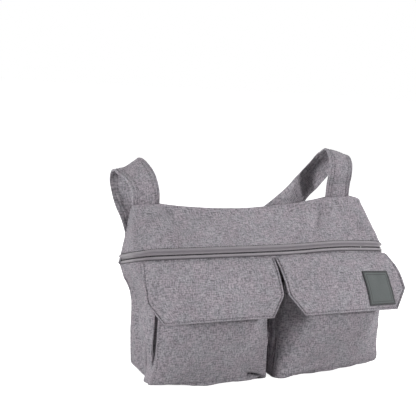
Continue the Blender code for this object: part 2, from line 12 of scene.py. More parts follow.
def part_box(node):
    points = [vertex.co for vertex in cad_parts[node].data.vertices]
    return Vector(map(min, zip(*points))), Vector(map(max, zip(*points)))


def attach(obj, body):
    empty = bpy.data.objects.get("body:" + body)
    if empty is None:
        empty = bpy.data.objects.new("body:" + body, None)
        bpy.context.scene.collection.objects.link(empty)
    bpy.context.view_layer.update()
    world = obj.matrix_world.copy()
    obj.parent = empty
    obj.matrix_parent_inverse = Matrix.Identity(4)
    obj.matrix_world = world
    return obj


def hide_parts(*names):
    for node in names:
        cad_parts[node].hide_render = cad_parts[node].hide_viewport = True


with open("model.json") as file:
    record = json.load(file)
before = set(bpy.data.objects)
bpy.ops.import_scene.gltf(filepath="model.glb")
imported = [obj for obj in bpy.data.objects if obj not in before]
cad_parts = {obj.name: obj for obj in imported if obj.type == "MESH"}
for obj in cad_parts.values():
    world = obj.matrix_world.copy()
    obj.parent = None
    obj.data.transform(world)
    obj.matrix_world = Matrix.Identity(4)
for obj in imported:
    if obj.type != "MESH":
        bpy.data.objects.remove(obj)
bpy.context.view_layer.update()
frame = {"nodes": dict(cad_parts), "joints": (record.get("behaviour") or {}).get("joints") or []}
bpy.ops.object.select_all(action="DESELECT")


# Camera, floor and light
# The camera stands where the photograph's did: to the bag's left, a little above it and a metre away.
# The floor and the room are plain and pale, and the lamps are large and soft.
CAMERA_AT = (-0.5430, -1.0057, 0.3921)
CAMERA_RIGHT = (0.909, -0.413, 0.060)
CAMERA_UP = (0.013, 0.172, 0.985)
FOCAL = 78.3
SENSOR_WIDTH = 36
FLOOR_GREY = 0.62
FLOOR_GLOW = 0.93
ROOM_LIGHT = 0.12
LAMP_AIM = (0, 0, 0.12)

bpy.ops.object.camera_add(location=CAMERA_AT)
camera = bpy.context.object
backwards = Vector(CAMERA_RIGHT).cross(Vector(CAMERA_UP)).normalized()
upwards = backwards.cross(Vector(CAMERA_RIGHT)).normalized()
sideways = upwards.cross(backwards)
turned = Matrix((sideways, upwards, backwards)).transposed()
camera.rotation_euler = turned.to_euler()
camera.data.lens = FOCAL
camera.data.sensor_width = SENSOR_WIDTH
bpy.context.scene.camera = camera
bpy.context.scene.view_settings.view_transform = "Standard"


def plug(material, socket, value):
    """Gives a socket its value, or links it where the value is another node's output."""
    if isinstance(value, bpy.types.NodeSocket):
        material.node_tree.links.new(value, socket)
    else:
        socket.default_value = value


def set_shader(material, **inputs):
    """Fills the shader's inputs by name, with _ for a space."""
    sockets = material.node_tree.nodes["Principled BSDF"].inputs
    for name, value in inputs.items():
        plug(material, sockets[name.replace("_", " ")], value)


def new_material(name, colour, roughness, metallic=0.0):
    material = bpy.data.materials.new(name)
    material.use_nodes = True
    set_shader(material, Base_Color=(*colour, 1), Roughness=roughness, Metallic=metallic)
    return material


def add_node(material, kind, **settings):
    """A shader node with its properties and, by socket name or number, its values or links."""
    node = material.node_tree.nodes.new(kind)
    for key, value in settings.items():
        if hasattr(node, key):
            setattr(node, key, value)
            continue
        socket = int(key[2:]) if key.startswith("in") else key.replace("_", " ")
        plug(material, node.inputs[socket], value)
    return node


def maths(material, operation, first, second=0.0):
    return add_node(material, "ShaderNodeMath", operation=operation, in0=first, in1=second).outputs[0]


def white_for_camera(material, strength):
    """The surface shines plain white to the camera and in gloss and glass, and keeps its shadows."""
    path = add_node(material, "ShaderNodeLightPath").outputs
    seen = maths(material, "MAXIMUM", path["Is Camera Ray"], path["Is Glossy Ray"])
    seen = maths(material, "MAXIMUM", seen, path["Is Transmission Ray"])
    glow = maths(material, "MULTIPLY", seen, strength)
    set_shader(material, Emission_Color=(1, 1, 1, 1), Emission_Strength=glow)


bpy.ops.mesh.primitive_plane_add(size=14, location=(0, 3, 0))
floor = bpy.context.object
floor.name = "floor"
floor_paint = new_material("floor_paint", (FLOOR_GREY, FLOOR_GREY, FLOOR_GREY), 0.9)
white_for_camera(floor_paint, FLOOR_GLOW)
floor.data.materials.append(floor_paint)

world = bpy.context.scene.world or bpy.data.worlds.new("room")
bpy.context.scene.world = world
world.use_nodes = True
ray = world.node_tree.nodes.new("ShaderNodeLightPath")
pick = world.node_tree.nodes.new("ShaderNodeMix")
pick.inputs["A"].default_value = ROOM_LIGHT
pick.inputs["B"].default_value = 1.0
world.node_tree.links.new(ray.outputs["Is Camera Ray"], pick.inputs["Factor"])
room = world.node_tree.nodes["Background"]
room.inputs["Color"].default_value = (1, 1, 1, 1)
world.node_tree.links.new(pick.outputs["Result"], room.inputs["Strength"])


def lamp(name, place, size, watts):
    bpy.ops.object.light_add(type="AREA", location=place)
    light = bpy.context.object
    light.name = name
    light.data.shape = "SQUARE"
    light.data.size = size
    light.data.energy = watts
    light.rotation_euler = (Vector(LAMP_AIM) - Vector(place)).to_track_quat("-Z", "Y").to_euler()


lamp("right_lamp", (1.5, -0.5, 1.5), 0.3, 21)
lamp("front_lamp", (1.4, -1.6, 0.8), 0.4, 26)
lamp("left_lamp", (-1.8, -0.45, 0.5), 0.4, 21)
lamp("back_lamp", (-0.8, 1.3, 1.6), 0.9, 18)


# Melange cloth
# All the grey panels are cut from one matt plain weave of dark and light yarns with a faint pink in it.
# The yarns follow each panel's own UV map, which is in metres; the blotches lie in the object's space.
YARN = 0.0011
YARN_DARK = (0.150, 0.142, 0.159)
YARN_LIGHT = (0.452, 0.419, 0.452)
PINKISH = (1.022, 0.990, 1.008, 1)
BLUISH = (0.982, 1.0, 1.004, 1)
FLECK_SLIMNESS = 0.14
GRAIN = 0.55


def coordinates(material, kind):
    return add_node(material, "ShaderNodeTexCoord").outputs[kind]


def noise_at(material, vector, scale):
    """A noise texture's value, 0 to 1, with one scale or its own along each coordinate."""
    scales = scale if isinstance(scale, tuple) else (scale, scale, scale)
    mapped = add_node(material, "ShaderNodeMapping", Vector=vector, Scale=scales)
    texture = add_node(material, "ShaderNodeTexNoise", Vector=mapped.outputs[0], Scale=1.0, Detail=2.0)
    return texture.outputs["Fac"]


def stretched(material, value, low, high, to_low=0.0, to_high=1.0):
    node = add_node(material, "ShaderNodeMapRange", Value=value, From_Min=low, From_Max=high, To_Min=to_low,
                    To_Max=to_high)
    return node.outputs[0]


def mixed(material, blend, share, first, second):
    return add_node(material, "ShaderNodeMix", data_type="RGBA", blend_type=blend, in0=share, in6=first,
                    in7=second).outputs[2]


def bumped(material, height, strength, distance):
    bump = add_node(material, "ShaderNodeBump", Strength=strength, Distance=distance, Height=height)
    set_shader(material, Normal=bump.outputs[0])


def woven(name, dark, light, yarn, roughness, sheen, relief=0.00025):
    """A cloth whose flecks run along the warp and the weft, with the weave itself as bump."""
    material = new_material(name, light, roughness)
    uv = coordinates(material, "UV")
    place = coordinates(material, "Object")
    warp = noise_at(material, uv, (1 / yarn, FLECK_SLIMNESS / yarn, 1))
    weft = noise_at(material, uv, (FLECK_SLIMNESS / yarn, 1 / yarn, 1))
    grain = noise_at(material, uv, (GRAIN / yarn, GRAIN / yarn, 1))
    flecks = maths(material, "ADD", maths(material, "ADD", warp, weft), grain)
    colour = mixed(material, "MIX", stretched(material, flecks, 1.2, 1.8), (*dark, 1), (*light, 1))
    tint = stretched(material, noise_at(material, place, 70), 0.4, 0.6)
    colour = mixed(material, "MULTIPLY", 1.0, colour, mixed(material, "MIX", tint, BLUISH, PINKISH))
    blotch = stretched(material, noise_at(material, place, 28), 0.3, 0.7, 0.93, 1.07)
    grey = add_node(material, "ShaderNodeCombineColor", Red=blotch, Green=blotch, Blue=blotch).outputs[0]
    colour = mixed(material, "MULTIPLY", 1.0, colour, grey)
    set_shader(material, Base_Color=colour, Sheen_Weight=sheen, Sheen_Roughness=0.5, Specular_IOR_Level=0.2)
    split = add_node(material, "ShaderNodeSeparateXYZ", Vector=uv).outputs
    turns = 2 * math.pi / yarn
    across, along = (maths(material, "SINE", maths(material, "MULTIPLY", split[i], turns)) for i in (0, 1))
    weave = maths(material, "ADD", maths(material, "MULTIPLY", across, along), flecks)
    bumped(material, weave, 0.6, relief)
    return material


melange = woven("melange_cloth", YARN_DARK, YARN_LIGHT, YARN, 0.95, 0.12)


# Body panels
# Back, base, sides and front are quilted cloth with thin foam, sewn with turned seams that pull in.
# The bag is laid out straight and then hung: its zip's ends dip back and its top edge sags.
PANEL = 0.0025
HALF_DEPTH = 0.029
BASE_SECTION = (0.156, 0.058, 0.005)
LOW_SECTION = (0.1585, 0.060, 0.005)
MIDDLE_SECTION = (0.160, 0.063, 0.006)
ZIP_SECTION = (0.1765, 0.066, 0.020)
YOKE_FOOT_SECTION = (0.1765, 0.060, 0.020)
YOKE_SECTION = (0.171, 0.037, 0.014)
TOP_SECTION = (0.166, 0.0065, 0.003)
MIDDLE_HEIGHT = 0.095
ZIP_HEIGHT = 0.155
BAND_TOP = 0.1675
TOP_HEIGHT = 0.2158
BASE_RISE = 0.007
BASE_FLAT = 0.070
TOP_SAG = 0.0105
TOP_TILT = 0.0045
CORNER_DROP = 0.006
ZIP_END_DROP = 0.019
ZIP_END_FLAT = 0.006
STRAP_PLACES = {"left": -0.1466, "right": 0.1305}
STRAP_HALF = 0.0175
ARCH = (0.0028, 0.100, 0.055)
SEAM_ROLL = 0.0035
SEAM_DEPTH = 0.0012
PUCKER_HEIGHT = 0.00035
PUCKER_PITCH = 0.009
PUCKER_REACH = 0.008
ARCH_DEPTHS = (0.02, 0.06)
ARCH_FOOT = 0.10
PLAN_END = 5
SIDE_END = 1.495
FRONT_START = 1.505


def share_of(value, low, high):
    return min(max((value - low) / (high - low), 0.0), 1.0)


def between(low, high, share):
    return low + (high - low) * share


def hump(distance, width):
    """1 along the middle of a ridge, falling away smoothly on both sides of it."""
    return math.exp(-((distance / width) ** 2))


def through(knots, t):
    """Values at t on a smooth curve through knots, each (t, value, value...)."""
    table = np.array(knots, float)
    slopes = np.gradient(table[:, 1:], table[:, 0], axis=0)
    i = int(np.clip(np.searchsorted(table[:, 0], t) - 1, 0, len(table) - 2))
    step = table[i + 1, 0] - table[i, 0]
    f = (t - table[i, 0]) / step
    start = (1 + 2 * f) * (1 - f) ** 2 * table[i, 1:] + f * (1 - f) ** 2 * step * slopes[i]
    end = f * f * (3 - 2 * f) * table[i + 1, 1:] - f * f * (1 - f) * step * slopes[i + 1]
    return start + end


def top_shift(x):
    left = STRAP_PLACES["left"] + STRAP_HALF
    right = STRAP_PLACES["right"] - STRAP_HALF
    across = (2 * x - left - right) / (right - left)
    sag = TOP_SAG * max(1 - across * across, 0)
    left_end = share_of(-x, STRAP_HALF - STRAP_PLACES["left"], TOP_SECTION[0])
    right_end = share_of(x, STRAP_PLACES["right"] + STRAP_HALF, TOP_SECTION[0])
    return TOP_TILT * x / TOP_SECTION[0] - sag - CORNER_DROP * max(left_end, right_end) ** 2


def hung(x, v, z):
    """The point of the hanging bag that lies at x, depth v and height z of the straight one."""
    half, depth, _ = ZIP_SECTION
    lift = BASE_RISE * share_of(abs(x), BASE_FLAT, BASE_SECTION[0]) ** 2
    lift *= (1 - share_of(z, 0, MIDDLE_HEIGHT)) ** 2
    end = share_of(abs(x), half - ZIP_SECTION[2], half - ZIP_END_FLAT)
    dip = ZIP_END_DROP * end * (1 - share_of(v, 0, depth)) * share_of(z, 0, ZIP_HEIGHT)
    dip *= 1 - share_of(z, BAND_TOP, TOP_HEIGHT)
    rise = top_shift(x) * share_of(z, BAND_TOP, TOP_HEIGHT)
    height, middle, width = ARCH
    arch = height * hump(x - middle, width) * share_of(v, *ARCH_DEPTHS)
    arch *= share_of(z, ARCH_FOOT, ZIP_HEIGHT) * (1 - share_of(z, BAND_TOP, TOP_HEIGHT))
    return Vector((x, HALF_DEPTH - v, z + lift - dip + rise + arch))


def section_at(z):
    """Half width, depth and corner radius of the body at height z."""
    if z <= ZIP_HEIGHT:
        return through(((0, *BASE_SECTION), (MIDDLE_HEIGHT / 2, *LOW_SECTION),
                        (MIDDLE_HEIGHT, *MIDDLE_SECTION), (ZIP_HEIGHT, *ZIP_SECTION)), z)
    return through(((BAND_TOP, *YOKE_FOOT_SECTION), ((BAND_TOP + TOP_HEIGHT) / 2, *YOKE_SECTION),
                    (TOP_HEIGHT, *TOP_SECTION)), z)


def plan_at(section, u, inset=0.0):
    """(x, v) on a section. u counts the left side, its corner, the front, the other corner and side."""
    half, depth, radius = (value - inset for value in section)
    if u > 2.5:
        x, v = plan_at((half, depth, radius), 5 - u)
        return -x, v
    start = PANEL
    f = u - min(int(u), 2)
    if u < 1:
        return -half, start + f * (depth - start - radius)
    if u < 2:
        turn = f * math.pi / 2
        return radius * (1 - math.cos(turn)) - half, depth - radius * (1 - math.sin(turn))
    return radius - half + f * 2 * (half - radius), depth


def body_at(u, z):
    return hung(*plan_at(section_at(z), u), z)


def round_bag(share):
    """The plan's u at a share of the way round from the back of the left side to that of the right."""
    half, depth, radius = ZIP_SECTION
    side, corner, wide = depth - PANEL - radius, radius * math.pi / 2, 2 * (half - radius)
    ends = np.cumsum([0, side, corner, wide, corner, side])
    return float(np.interp(share * ends[-1], ends, range(6)))


def ripple(*place):
    return noise.noise(Vector(place))


def uneven(point, *hills):
    """Slow hills and hollows, as cloth has where nothing holds it. Each is (seed, height, width)."""
    return sum(height * noise.noise(point / width + Vector((seed, seed * 1.7, seed * 0.6)))
               for seed, height, width in hills)


def crease(point, start, end, width, depth):
    """A soft valley (or, with a negative depth, a ridge) along a line in the x-z plane."""
    line = Vector((end[0] - start[0], end[1] - start[1]))
    away = Vector((point.x - start[0], point.z - start[1]))
    f = share_of(away.dot(line) / line.length_squared, 0, 1)
    return -depth * hump((away - line * f).length, width) * (0.35 + 0.65 * math.sin(math.pi * f))


def edge_gaps(u, v, size):
    """How far a point of a panel is from its left, right, bottom and top edge."""
    return {"l": u * size[0], "r": (1 - u) * size[0], "b": v * size[1], "t": (1 - v) * size[1]}


def rolled(u, v, size, sides="lrtb", depth=SEAM_DEPTH, reach=SEAM_ROLL):
    """How far a panel is pulled in beside those of its seams."""
    gaps = edge_gaps(u, v, size)
    near = min(gaps[side] for side in sides)
    return -depth * max(1 - near / reach, 0) ** 2


def puckers(u, v, size, sides, seed):
    """Small ripples across a seam, where its thread gathers the cloth."""
    gaps = edge_gaps(u, v, size)
    side = min(sides, key=lambda name: gaps[name])
    along = (v * size[1] if side in "lr" else u * size[0]) / PUCKER_PITCH
    return PUCKER_HEIGHT * 2 * ripple(along, seed, 0.5) * math.exp(-gaps[side] / PUCKER_REACH)


def finished(obj, name, material, node=None, body="bag"):
    """Names and dresses a piece, hangs it on its body's empty and hides the imported part it stands for."""
    obj.name = name
    obj.data.name = name
    obj.data.materials.clear()
    obj.data.materials.append(material)
    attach(obj, body)
    if node:
        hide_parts(node)
    return obj


def apply_all(obj):
    bpy.ops.object.select_all(action="DESELECT")
    obj.select_set(True)
    bpy.context.view_layer.objects.active = obj
    for modifier in list(obj.modifiers):
        bpy.ops.object.modifier_apply(modifier=modifier.name)


def soften(obj, width, segments, angle=30):
    """Rounds the edges that turn by more than an angle in degrees."""
    rounding = obj.modifiers.new("edges", "BEVEL")
    rounding.width = width
    rounding.segments = segments
    rounding.limit_method = "ANGLE"
    rounding.angle_limit = math.radians(angle)


def closer_at_edges(share, length, hem):
    """Spreads even grid lines so that a quarter of them lies within the hem beside the two edges."""
    reach = hem / length
    return float(np.interp(share, (0, 0.125, 0.875, 1), (0, reach, 1 - reach, 1))) if hem else share


DRAPE_SCALE = 10
DRAPE_FRAMES = 26
DRAPE_CAP = 0.0025
DRAPE_GRAVITY = 0.4
DRAPE_SETTINGS = {"quality": 6, "mass": 0.3, "air_damping": 4, "tension_stiffness": 12,
                  "compression_stiffness": 12, "shear_stiffness": 4, "vertex_group_mass": "sewn"}


def settle(obj, grow, bending, held):
    """Lets a panel that is cut a little too large buckle between its held edges. held is each vertex's
    weight, 1 where it is sewn. The simulation runs at ten times the size, for the sake of its steps."""
    vertices = obj.data.vertices
    before = [vertex.co.copy() for vertex in vertices]
    group = obj.vertex_groups.new(name="sewn")
    for vertex, weight in zip(vertices, held):
        group.add([vertex.index], weight, "REPLACE")
        vertex.co *= DRAPE_SCALE
    drape = obj.modifiers.new("drape", "CLOTH")
    for setting, value in DRAPE_SETTINGS.items():
        setattr(drape.settings, setting, value)
    drape.settings.bending_stiffness = bending
    drape.settings.shrink_min = -grow
    drape.settings.effector_weights.gravity = DRAPE_GRAVITY
    drape.collision_settings.use_collision = False
    scene = bpy.context.scene
    for moment in range(1, DRAPE_FRAMES + 1):
        scene.frame_set(moment)
    shaped = obj.evaluated_get(bpy.context.evaluated_depsgraph_get()).data.vertices
    after = [vertex.co / DRAPE_SCALE for vertex in shaped]
    obj.modifiers.remove(drape)
    scene.frame_set(1)
    for vertex, old, new in zip(vertices, before, after):
        move = new - old
        if move.length > DRAPE_CAP:
            move *= DRAPE_CAP / move.length
        vertex.co = old + move
    obj.vertex_groups.remove(group)


def cloth(name, node, shape, size, columns, rows, thick, relief=None, material=melange,
          edge=0.3, hem=0.0, drape=None):
    """A panel of cloth: a grid laid on shape(u, v), u and v from 0 to 1, moved along its normals by
    relief(u, v, point), and then given its thickness and rounded edges."""
    bpy.ops.mesh.primitive_grid_add(x_subdivisions=columns, y_subdivisions=rows, size=1)
    obj = bpy.context.object
    vertices = obj.data.vertices

    def spread(share, axis):
        return closer_at_edges(share, size[axis], hem)

    places = [(spread(vertex.co.x + 0.5, 0), spread(vertex.co.y + 0.5, 1)) for vertex in vertices]
    for vertex, (u, v) in zip(vertices, places):
        vertex.co = shape(u, v)
    for corner in obj.data.uv_layers.active.data:
        corner.uv = (spread(corner.uv[0], 0) * size[0], spread(corner.uv[1], 1) * size[1])
    if drape:
        grow, bending, held = drape
        settle(obj, grow, bending, [held(u, v) for u, v in places])
    if relief:
        obj.data.update()
        outwards = [Vector(vertex.normal) for vertex in vertices]
        for vertex, normal, (u, v) in zip(vertices, outwards, places):
            vertex.co += normal * relief(u, v, vertex.co.copy())
    wall = obj.modifiers.new("thickness", "SOLIDIFY")
    wall.thickness = thick
    wall.offset = -1
    soften(obj, thick * edge, 2, 60)
    apply_all(obj)
    obj.data.shade_smooth()
    return finished(obj, name, material, node)


SIDE_SIZE = (0.058, 0.152)
FRONT_SIZE = (0.315, 0.152)
WALL_FOOT = 0.0033
WALL_TOP = 0.1545
SIDE_FOLD = ((0.110, 0.012), (0.085, 0.015), (0.045, 0.027), (0.002, 0.038))
FOLD_DEPTH = 0.0056
FOLD_WIDTH = 0.0050
FOLD_BEHIND = 0.002
FOLD_FADE = (0.098, 0.128)
BULGE_HEIGHT = 0.0044
BULGE_WIDTH = 0.0046
BULGE_BEFORE = 0.0085
BULGE_FADE = (0.090, 0.130)


def wall_panel(name, node, start, end, size, columns, rows, relief):
    """One upright panel of the body, from start to end of the plan's u."""
    return cloth(name, node, lambda u, v: body_at(between(start, end, u), between(WALL_FOOT, WALL_TOP, v)),
                 size, columns, rows, PANEL, relief)


def side_relief(u, v, point):
    """The wall is folded from its top at the back to its foot in front, and bulges before the fold."""
    soft = uneven(point, (3, 0.0022, 0.030), (8, 0.0007, 0.011)) + 0.001
    inside = math.sin(math.pi * u) * math.sin(math.pi * v) ** 0.5
    heights, depths = zip(*reversed(SIDE_FOLD))
    before = HALF_DEPTH - point.y - np.interp(point.z, heights, depths)
    fold = FOLD_DEPTH * hump(before + FOLD_BEHIND, FOLD_WIDTH) * (1 - share_of(point.z, *FOLD_FADE))
    bulge = BULGE_HEIGHT * hump(before - BULGE_BEFORE, BULGE_WIDTH) * (1 - share_of(point.z, *BULGE_FADE))
    seams = rolled(u, v, SIDE_SIZE) + puckers(u, v, SIDE_SIZE, "lrtb", 4)
    return soft * inside + (bulge - fold) * share_of(v, 0, 0.05) + seams


side_left = wall_panel("side_left_cloth", "side_left", 0, SIDE_END, SIDE_SIZE, 44, 84, side_relief)
side_right = wall_panel("side_right_cloth", "side_right", PLAN_END - SIDE_END, PLAN_END, SIDE_SIZE, 44, 84,
                        side_relief)


def front_relief(u, v, point):
    soft = uneven(point, (5, 0.0012, 0.035))
    return soft + rolled(u, v, FRONT_SIZE) + puckers(u, v, FRONT_SIZE, "lrtb", 2)


front = wall_panel("front_cloth", "front_panel", FRONT_START, PLAN_END - FRONT_START, FRONT_SIZE, 120, 60,
                   front_relief)

BACK_SIZE = (0.340, 0.212)


def back_at(u, v):
    z = between(WALL_FOOT, TOP_HEIGHT, v)
    return hung((1 - 2 * u) * section_at(z)[0], 0, z)


def back_relief(u, v, point):
    soft = uneven(point, (11, 0.0016, 0.045), (12, 0.0005, 0.014))
    return soft + rolled(u, v, BACK_SIZE) + puckers(u, v, BACK_SIZE, "lrtb", 9)


back = cloth("back_cloth", "back_panel", back_at, BACK_SIZE, 130, 90, PANEL, back_relief)

BASE_SIZE = (0.312, 0.058)
BASE_THICK = 0.003
BASE_SEAM_DEPTH = 0.0006
BASE_SEAM_SHARE = 1 / 12


def base_at(u, v):
    half, depth, radius = BASE_SECTION
    into_corner = max(v * depth - (depth - radius), 0)
    half_here = half - radius + math.sqrt(max(radius**2 - into_corner**2, 0))
    return hung((2 * u - 1) * half_here, v * depth, 0)


def base_relief(u, v, point):
    ends = share_of(abs(point.x), BASE_FLAT, BASE_SECTION[0])
    seams = BASE_SEAM_DEPTH * hump(min(v, 1 - v), BASE_SEAM_SHARE)
    return -seams - abs(uneven(point, (14, 0.0012, 0.03))) * ends


base = cloth("base_cloth", "base", base_at, BASE_SIZE, 110, 24, BASE_THICK, base_relief)


# Yoke
# The sloping top of the bag is one softly padded piece, sewn to the zip below and to the back above.
# Its creases run from the straps' feet, where the bag's weight pulls, and one short nick is in its top.
YOKE_SIZE = (0.44, 0.066)
YOKE_HOLD = (0.17, 0.25)
YOKE_CREASES = (
    ((0.105, 0.214), (0.070, 0.180), 0.0075, 0.0068),
    ((0.088, 0.207), (0.055, 0.174), 0.007, -0.0042),
    ((0.128, 0.207), (0.148, 0.178), 0.009, 0.0040),
    ((0.060, 0.206), (0.020, 0.182), 0.010, 0.0030),
    ((0.020, 0.202), (-0.015, 0.178), 0.012, -0.0020),
    ((-0.038, 0.212), (-0.030, 0.198), 0.0028, 0.0034),
    ((-0.060, 0.206), (-0.110, 0.182), 0.012, 0.0022),
    ((-0.128, 0.212), (-0.105, 0.180), 0.009, 0.0026),
    ((-0.155, 0.210), (-0.168, 0.178), 0.008, 0.0022),
    ((-0.100, 0.176), (0.010, 0.174), 0.005, 0.0009),
    ((0.040, 0.175), (0.140, 0.176), 0.005, 0.0010),
)


def yoke_at(u, v):
    return body_at(round_bag(u), BAND_TOP + v * (TOP_HEIGHT - BAND_TOP))


def yoke_relief(u, v, point):
    soft = uneven(point, (21, 0.0022, 0.038), (25, 0.0008, 0.013))
    soft += sum(crease(point, *line) for line in YOKE_CREASES)
    soft *= share_of(v, 0, 0.12) * share_of(1 - v, 0, 0.15)
    return soft + rolled(u, v, YOKE_SIZE, "lrb") + puckers(u, v, YOKE_SIZE, "tb", 6)


def yoke_held(u, v):
    """1 along the seams and round the corners, where the sides hold the cloth."""
    sewn = 1.0 if min(v, 1 - v) < 0.02 else 0.0
    return max(1 - share_of(min(u, 1 - u), *YOKE_HOLD), sewn)


yoke = cloth("yoke_cloth", "yoke", yoke_at, YOKE_SIZE, 230, 50, PANEL, yoke_relief,
             drape=(0.02, 0.6, yoke_held))


# Stitches
# The bag's topstitching is tone on tone: twisted polyester thread, sunk half into the cloth.
# A row is one bead for each stitch, copied along a path and turned to lie on the cloth.
STITCH = 0.0024
STITCH_GAP = 0.0009
THREAD = 0.00034
THREAD_DARK = (0.060, 0.057, 0.065)
THREAD_LIGHT = (0.130, 0.122, 0.135)
# The seam thread's near-black colours are painted shade: they darken the seams along the zip tapes' edges,
# where shade lies.
SEAM_SHADE_THREAD_DARK = (0.032, 0.030, 0.034)
SEAM_SHADE_THREAD_LIGHT = (0.070, 0.066, 0.073)


def spun_thread(name, dark, light, roughness, grain):
    """Twisted polyester, and the height of its twist."""
    material = new_material(name, light, roughness)
    twist = noise_at(material, coordinates(material, "Object"), grain)
    share = stretched(material, twist, 0.35, 0.65)
    set_shader(material, Base_Color=mixed(material, "MIX", share, (*dark, 1), (*light, 1)))
    return material, twist


thread, thread_twist = spun_thread("sewing_thread", THREAD_DARK, THREAD_LIGHT, 0.6, 2600)
bumped(thread, thread_twist, 0.5, 0.0001)

bpy.ops.mesh.primitive_ico_sphere_add(subdivisions=1, radius=1)
bead = bpy.context.object
BEAD_POINTS = np.array([vertex.co for vertex in bead.data.vertices])
BEAD_FACES = np.array([face.vertices[:] for face in bead.data.polygons])
bpy.data.objects.remove(bead)


def sew(name, rows, material=thread, pitch=STITCH + STITCH_GAP, length=STITCH, width=THREAD):
    """One mesh of stitches. Each row is a list of (point, outwards) along its path."""
    points = []
    faces = []
    for row in rows:
        line = np.array([point for point, _ in row])
        out = np.array([normal for _, normal in row])
        run = np.concatenate([[0], np.cumsum(np.linalg.norm(np.diff(line, axis=0), axis=1))])
        count = max(int(run[-1] / pitch), 1)
        for k in range(count):
            middle = (k + 0.5) * run[-1] / count
            ends = [[np.interp(d, run, line[:, i]) for i in range(3)]
                    for d in (middle - length / 2, middle + length / 2)]
            along = np.subtract(*ends[::-1])
            reach = np.linalg.norm(along)
            if reach < 1e-6:
                continue
            along = along / reach
            normal = np.array([np.interp(middle, run, out[:, i]) for i in range(3)])
            normal -= along * (normal @ along)
            normal /= np.linalg.norm(normal)
            axes = np.stack([along * length / 2, np.cross(normal, along) * width, normal * width])
            faces.append(BEAD_FACES + len(points) * len(BEAD_POINTS))
            points.append(BEAD_POINTS @ axes + (np.add(*ends) / 2))
    mesh = bpy.data.meshes.new(name)
    mesh.from_pydata(np.concatenate(points).tolist(), [], np.concatenate(faces).tolist())
    mesh.shade_smooth()
    obj = bpy.data.objects.new(name, mesh)
    bpy.context.scene.collection.objects.link(obj)
    return finished(obj, name, material)


# Near-black seam thread, whose dark colour is painted shade along the zip tapes' seams.
seam_shade_thread, _ = spun_thread("seam_shade_thread", SEAM_SHADE_THREAD_DARK, SEAM_SHADE_THREAD_LIGHT, 0.7, 900)


def straight(start, end):
    """A path over a piece, from one (u, v) to another."""
    return lambda f: (between(start[0], end[0], f), between(start[1], end[1], f))


def outward(shape, u, v, step=0.004):
    """The direction straight out of a shape at (u, v)."""
    across = shape(u + step, v) - shape(u - step, v)
    up = shape(u, v + step) - shape(u, v - step)
    return across.cross(up).normalized()


def row_on(shape, path, lift=0.0001, samples=80, relief=None):
    """Points and outward directions along path(f), which gives u and v on shape and its relief."""
    row = []
    for i in range(samples + 1):
        u, v = path(i / samples)
        here = shape(u, v)
        normal = outward(shape, u, v)
        height = relief(u, v, here) if relief else 0
        row.append((here + normal * (lift + height), normal))
    return row


# Zip band
# Two satin tapes run round the bag from side to side, with the coil chain sewn behind their edges.
# The upper tape stands proud at its top and falls in towards the chain; both are folded at the chain.
TAPE = 0.0012
TAPE_INSET = 0.0005
CHAIN_HEIGHT = 0.1596
SLOT = 0.001
CHAIN_LOW = CHAIN_HEIGHT - SLOT / 2
CHAIN_HIGH = CHAIN_HEIGHT + SLOT / 2
UPPER_LEAN = 0.006
TAPE_LENGTH = 0.46
SATIN = (0.250, 0.228, 0.250)
SATIN_SHADE = 0.84
COIL_GREY = (0.075, 0.072, 0.078)
COIL_RADIUS = 0.00075
COIL_WAIST = 0.62
COIL_PITCH = 0.0013
COIL_INSET = 0.00275


def worn_gloss(material, grain, low, high):
    """The roughness goes from low to high in patches, as where a thing is handled."""
    patches = noise_at(material, coordinates(material, "Object"), grain)
    set_shader(material, Roughness=stretched(material, patches, 0.3, 0.7, low, high))


def satin_tape(name, colour):
    material = new_material(name, colour, 0.5)
    ribs = noise_at(material, coordinates(material, "UV"), (260, 2600, 1))
    darker = (SATIN_SHADE * value for value in colour)
    lit = mixed(material, "MIX", stretched(material, ribs, 0.3, 0.7), (*darker, 1), (*colour, 1))
    set_shader(material, Base_Color=lit, Sheen_Weight=0.2)
    worn_gloss(material, 60, 0.42, 0.6)
    bumped(material, ribs, 0.5, 0.00012)
    return material


satin = satin_tape("zip_tape_satin", SATIN)


def band_section(z, inset):
    lean = UPPER_LEAN * share_of(z, ZIP_HEIGHT, BAND_TOP)
    return tuple(value - inset for value in (ZIP_SECTION[0], ZIP_SECTION[1] - lean, ZIP_SECTION[2]))


def band_at(u, z, inset=TAPE_INSET):
    return hung(*plan_at(band_section(z, inset), round_bag(u)), z)


LOWER_PROFILE = ((0, -0.0014), (0.12, -0.0006), (0.30, 0.0005), (0.55, 0.0009), (0.85, 0.0007), (1, -0.0003))
UPPER_PROFILE = ((0, -0.0003), (0.06, 0.0007), (0.12, 0.0004), (0.19, -0.0006), (0.34, -0.0002),
                 (0.56, 0.0022), (0.68, 0.0026), (0.82, 0.0020), (0.93, 0.0006), (1, -0.0010))
def zip_tape(name, foot, top, rows, profile, seed):
    """One satin tape between two heights, bent to its profile. Gives its unbent surface back."""
    def tape_at(u, v):
        return band_at(u, between(foot, top, v))

    def tape_relief(u, v, point):
        return through(profile, v)[0] + uneven(point, (seed, 0.0004, 0.02))

    cloth(f"zip_tape_{name}_cloth", f"zip_tape_{name}", tape_at, (TAPE_LENGTH, top - foot), 300, rows, TAPE,
          tape_relief, satin, edge=0.2)
    return tape_at


lower_tape_at = zip_tape("lower", ZIP_HEIGHT, CHAIN_LOW, 10, LOWER_PROFILE, 31)
upper_tape_at = zip_tape("upper", CHAIN_HIGH, BAND_TOP, 16, UPPER_PROFILE, 32)
# Real seam stitching along the lower tape's foot and the upper tape's top, in near-black thread sewn almost
# end to end, so that it paints the shade lines of both seams.
band_rows = [row_on(shape, straight((0.004, v), (0.996, v)), 0.0004, 200)
             for shape, v in ((lower_tape_at, 0.02), (upper_tape_at, 0.99))]
sew("zip_seam_shade_stitches", band_rows, seam_shade_thread, pitch=0.0024, length=0.0026, width=0.00042)

nylon = new_material("zip_coil_nylon", COIL_GREY, 0.4)
worn_gloss(nylon, 900, 0.32, 0.55)


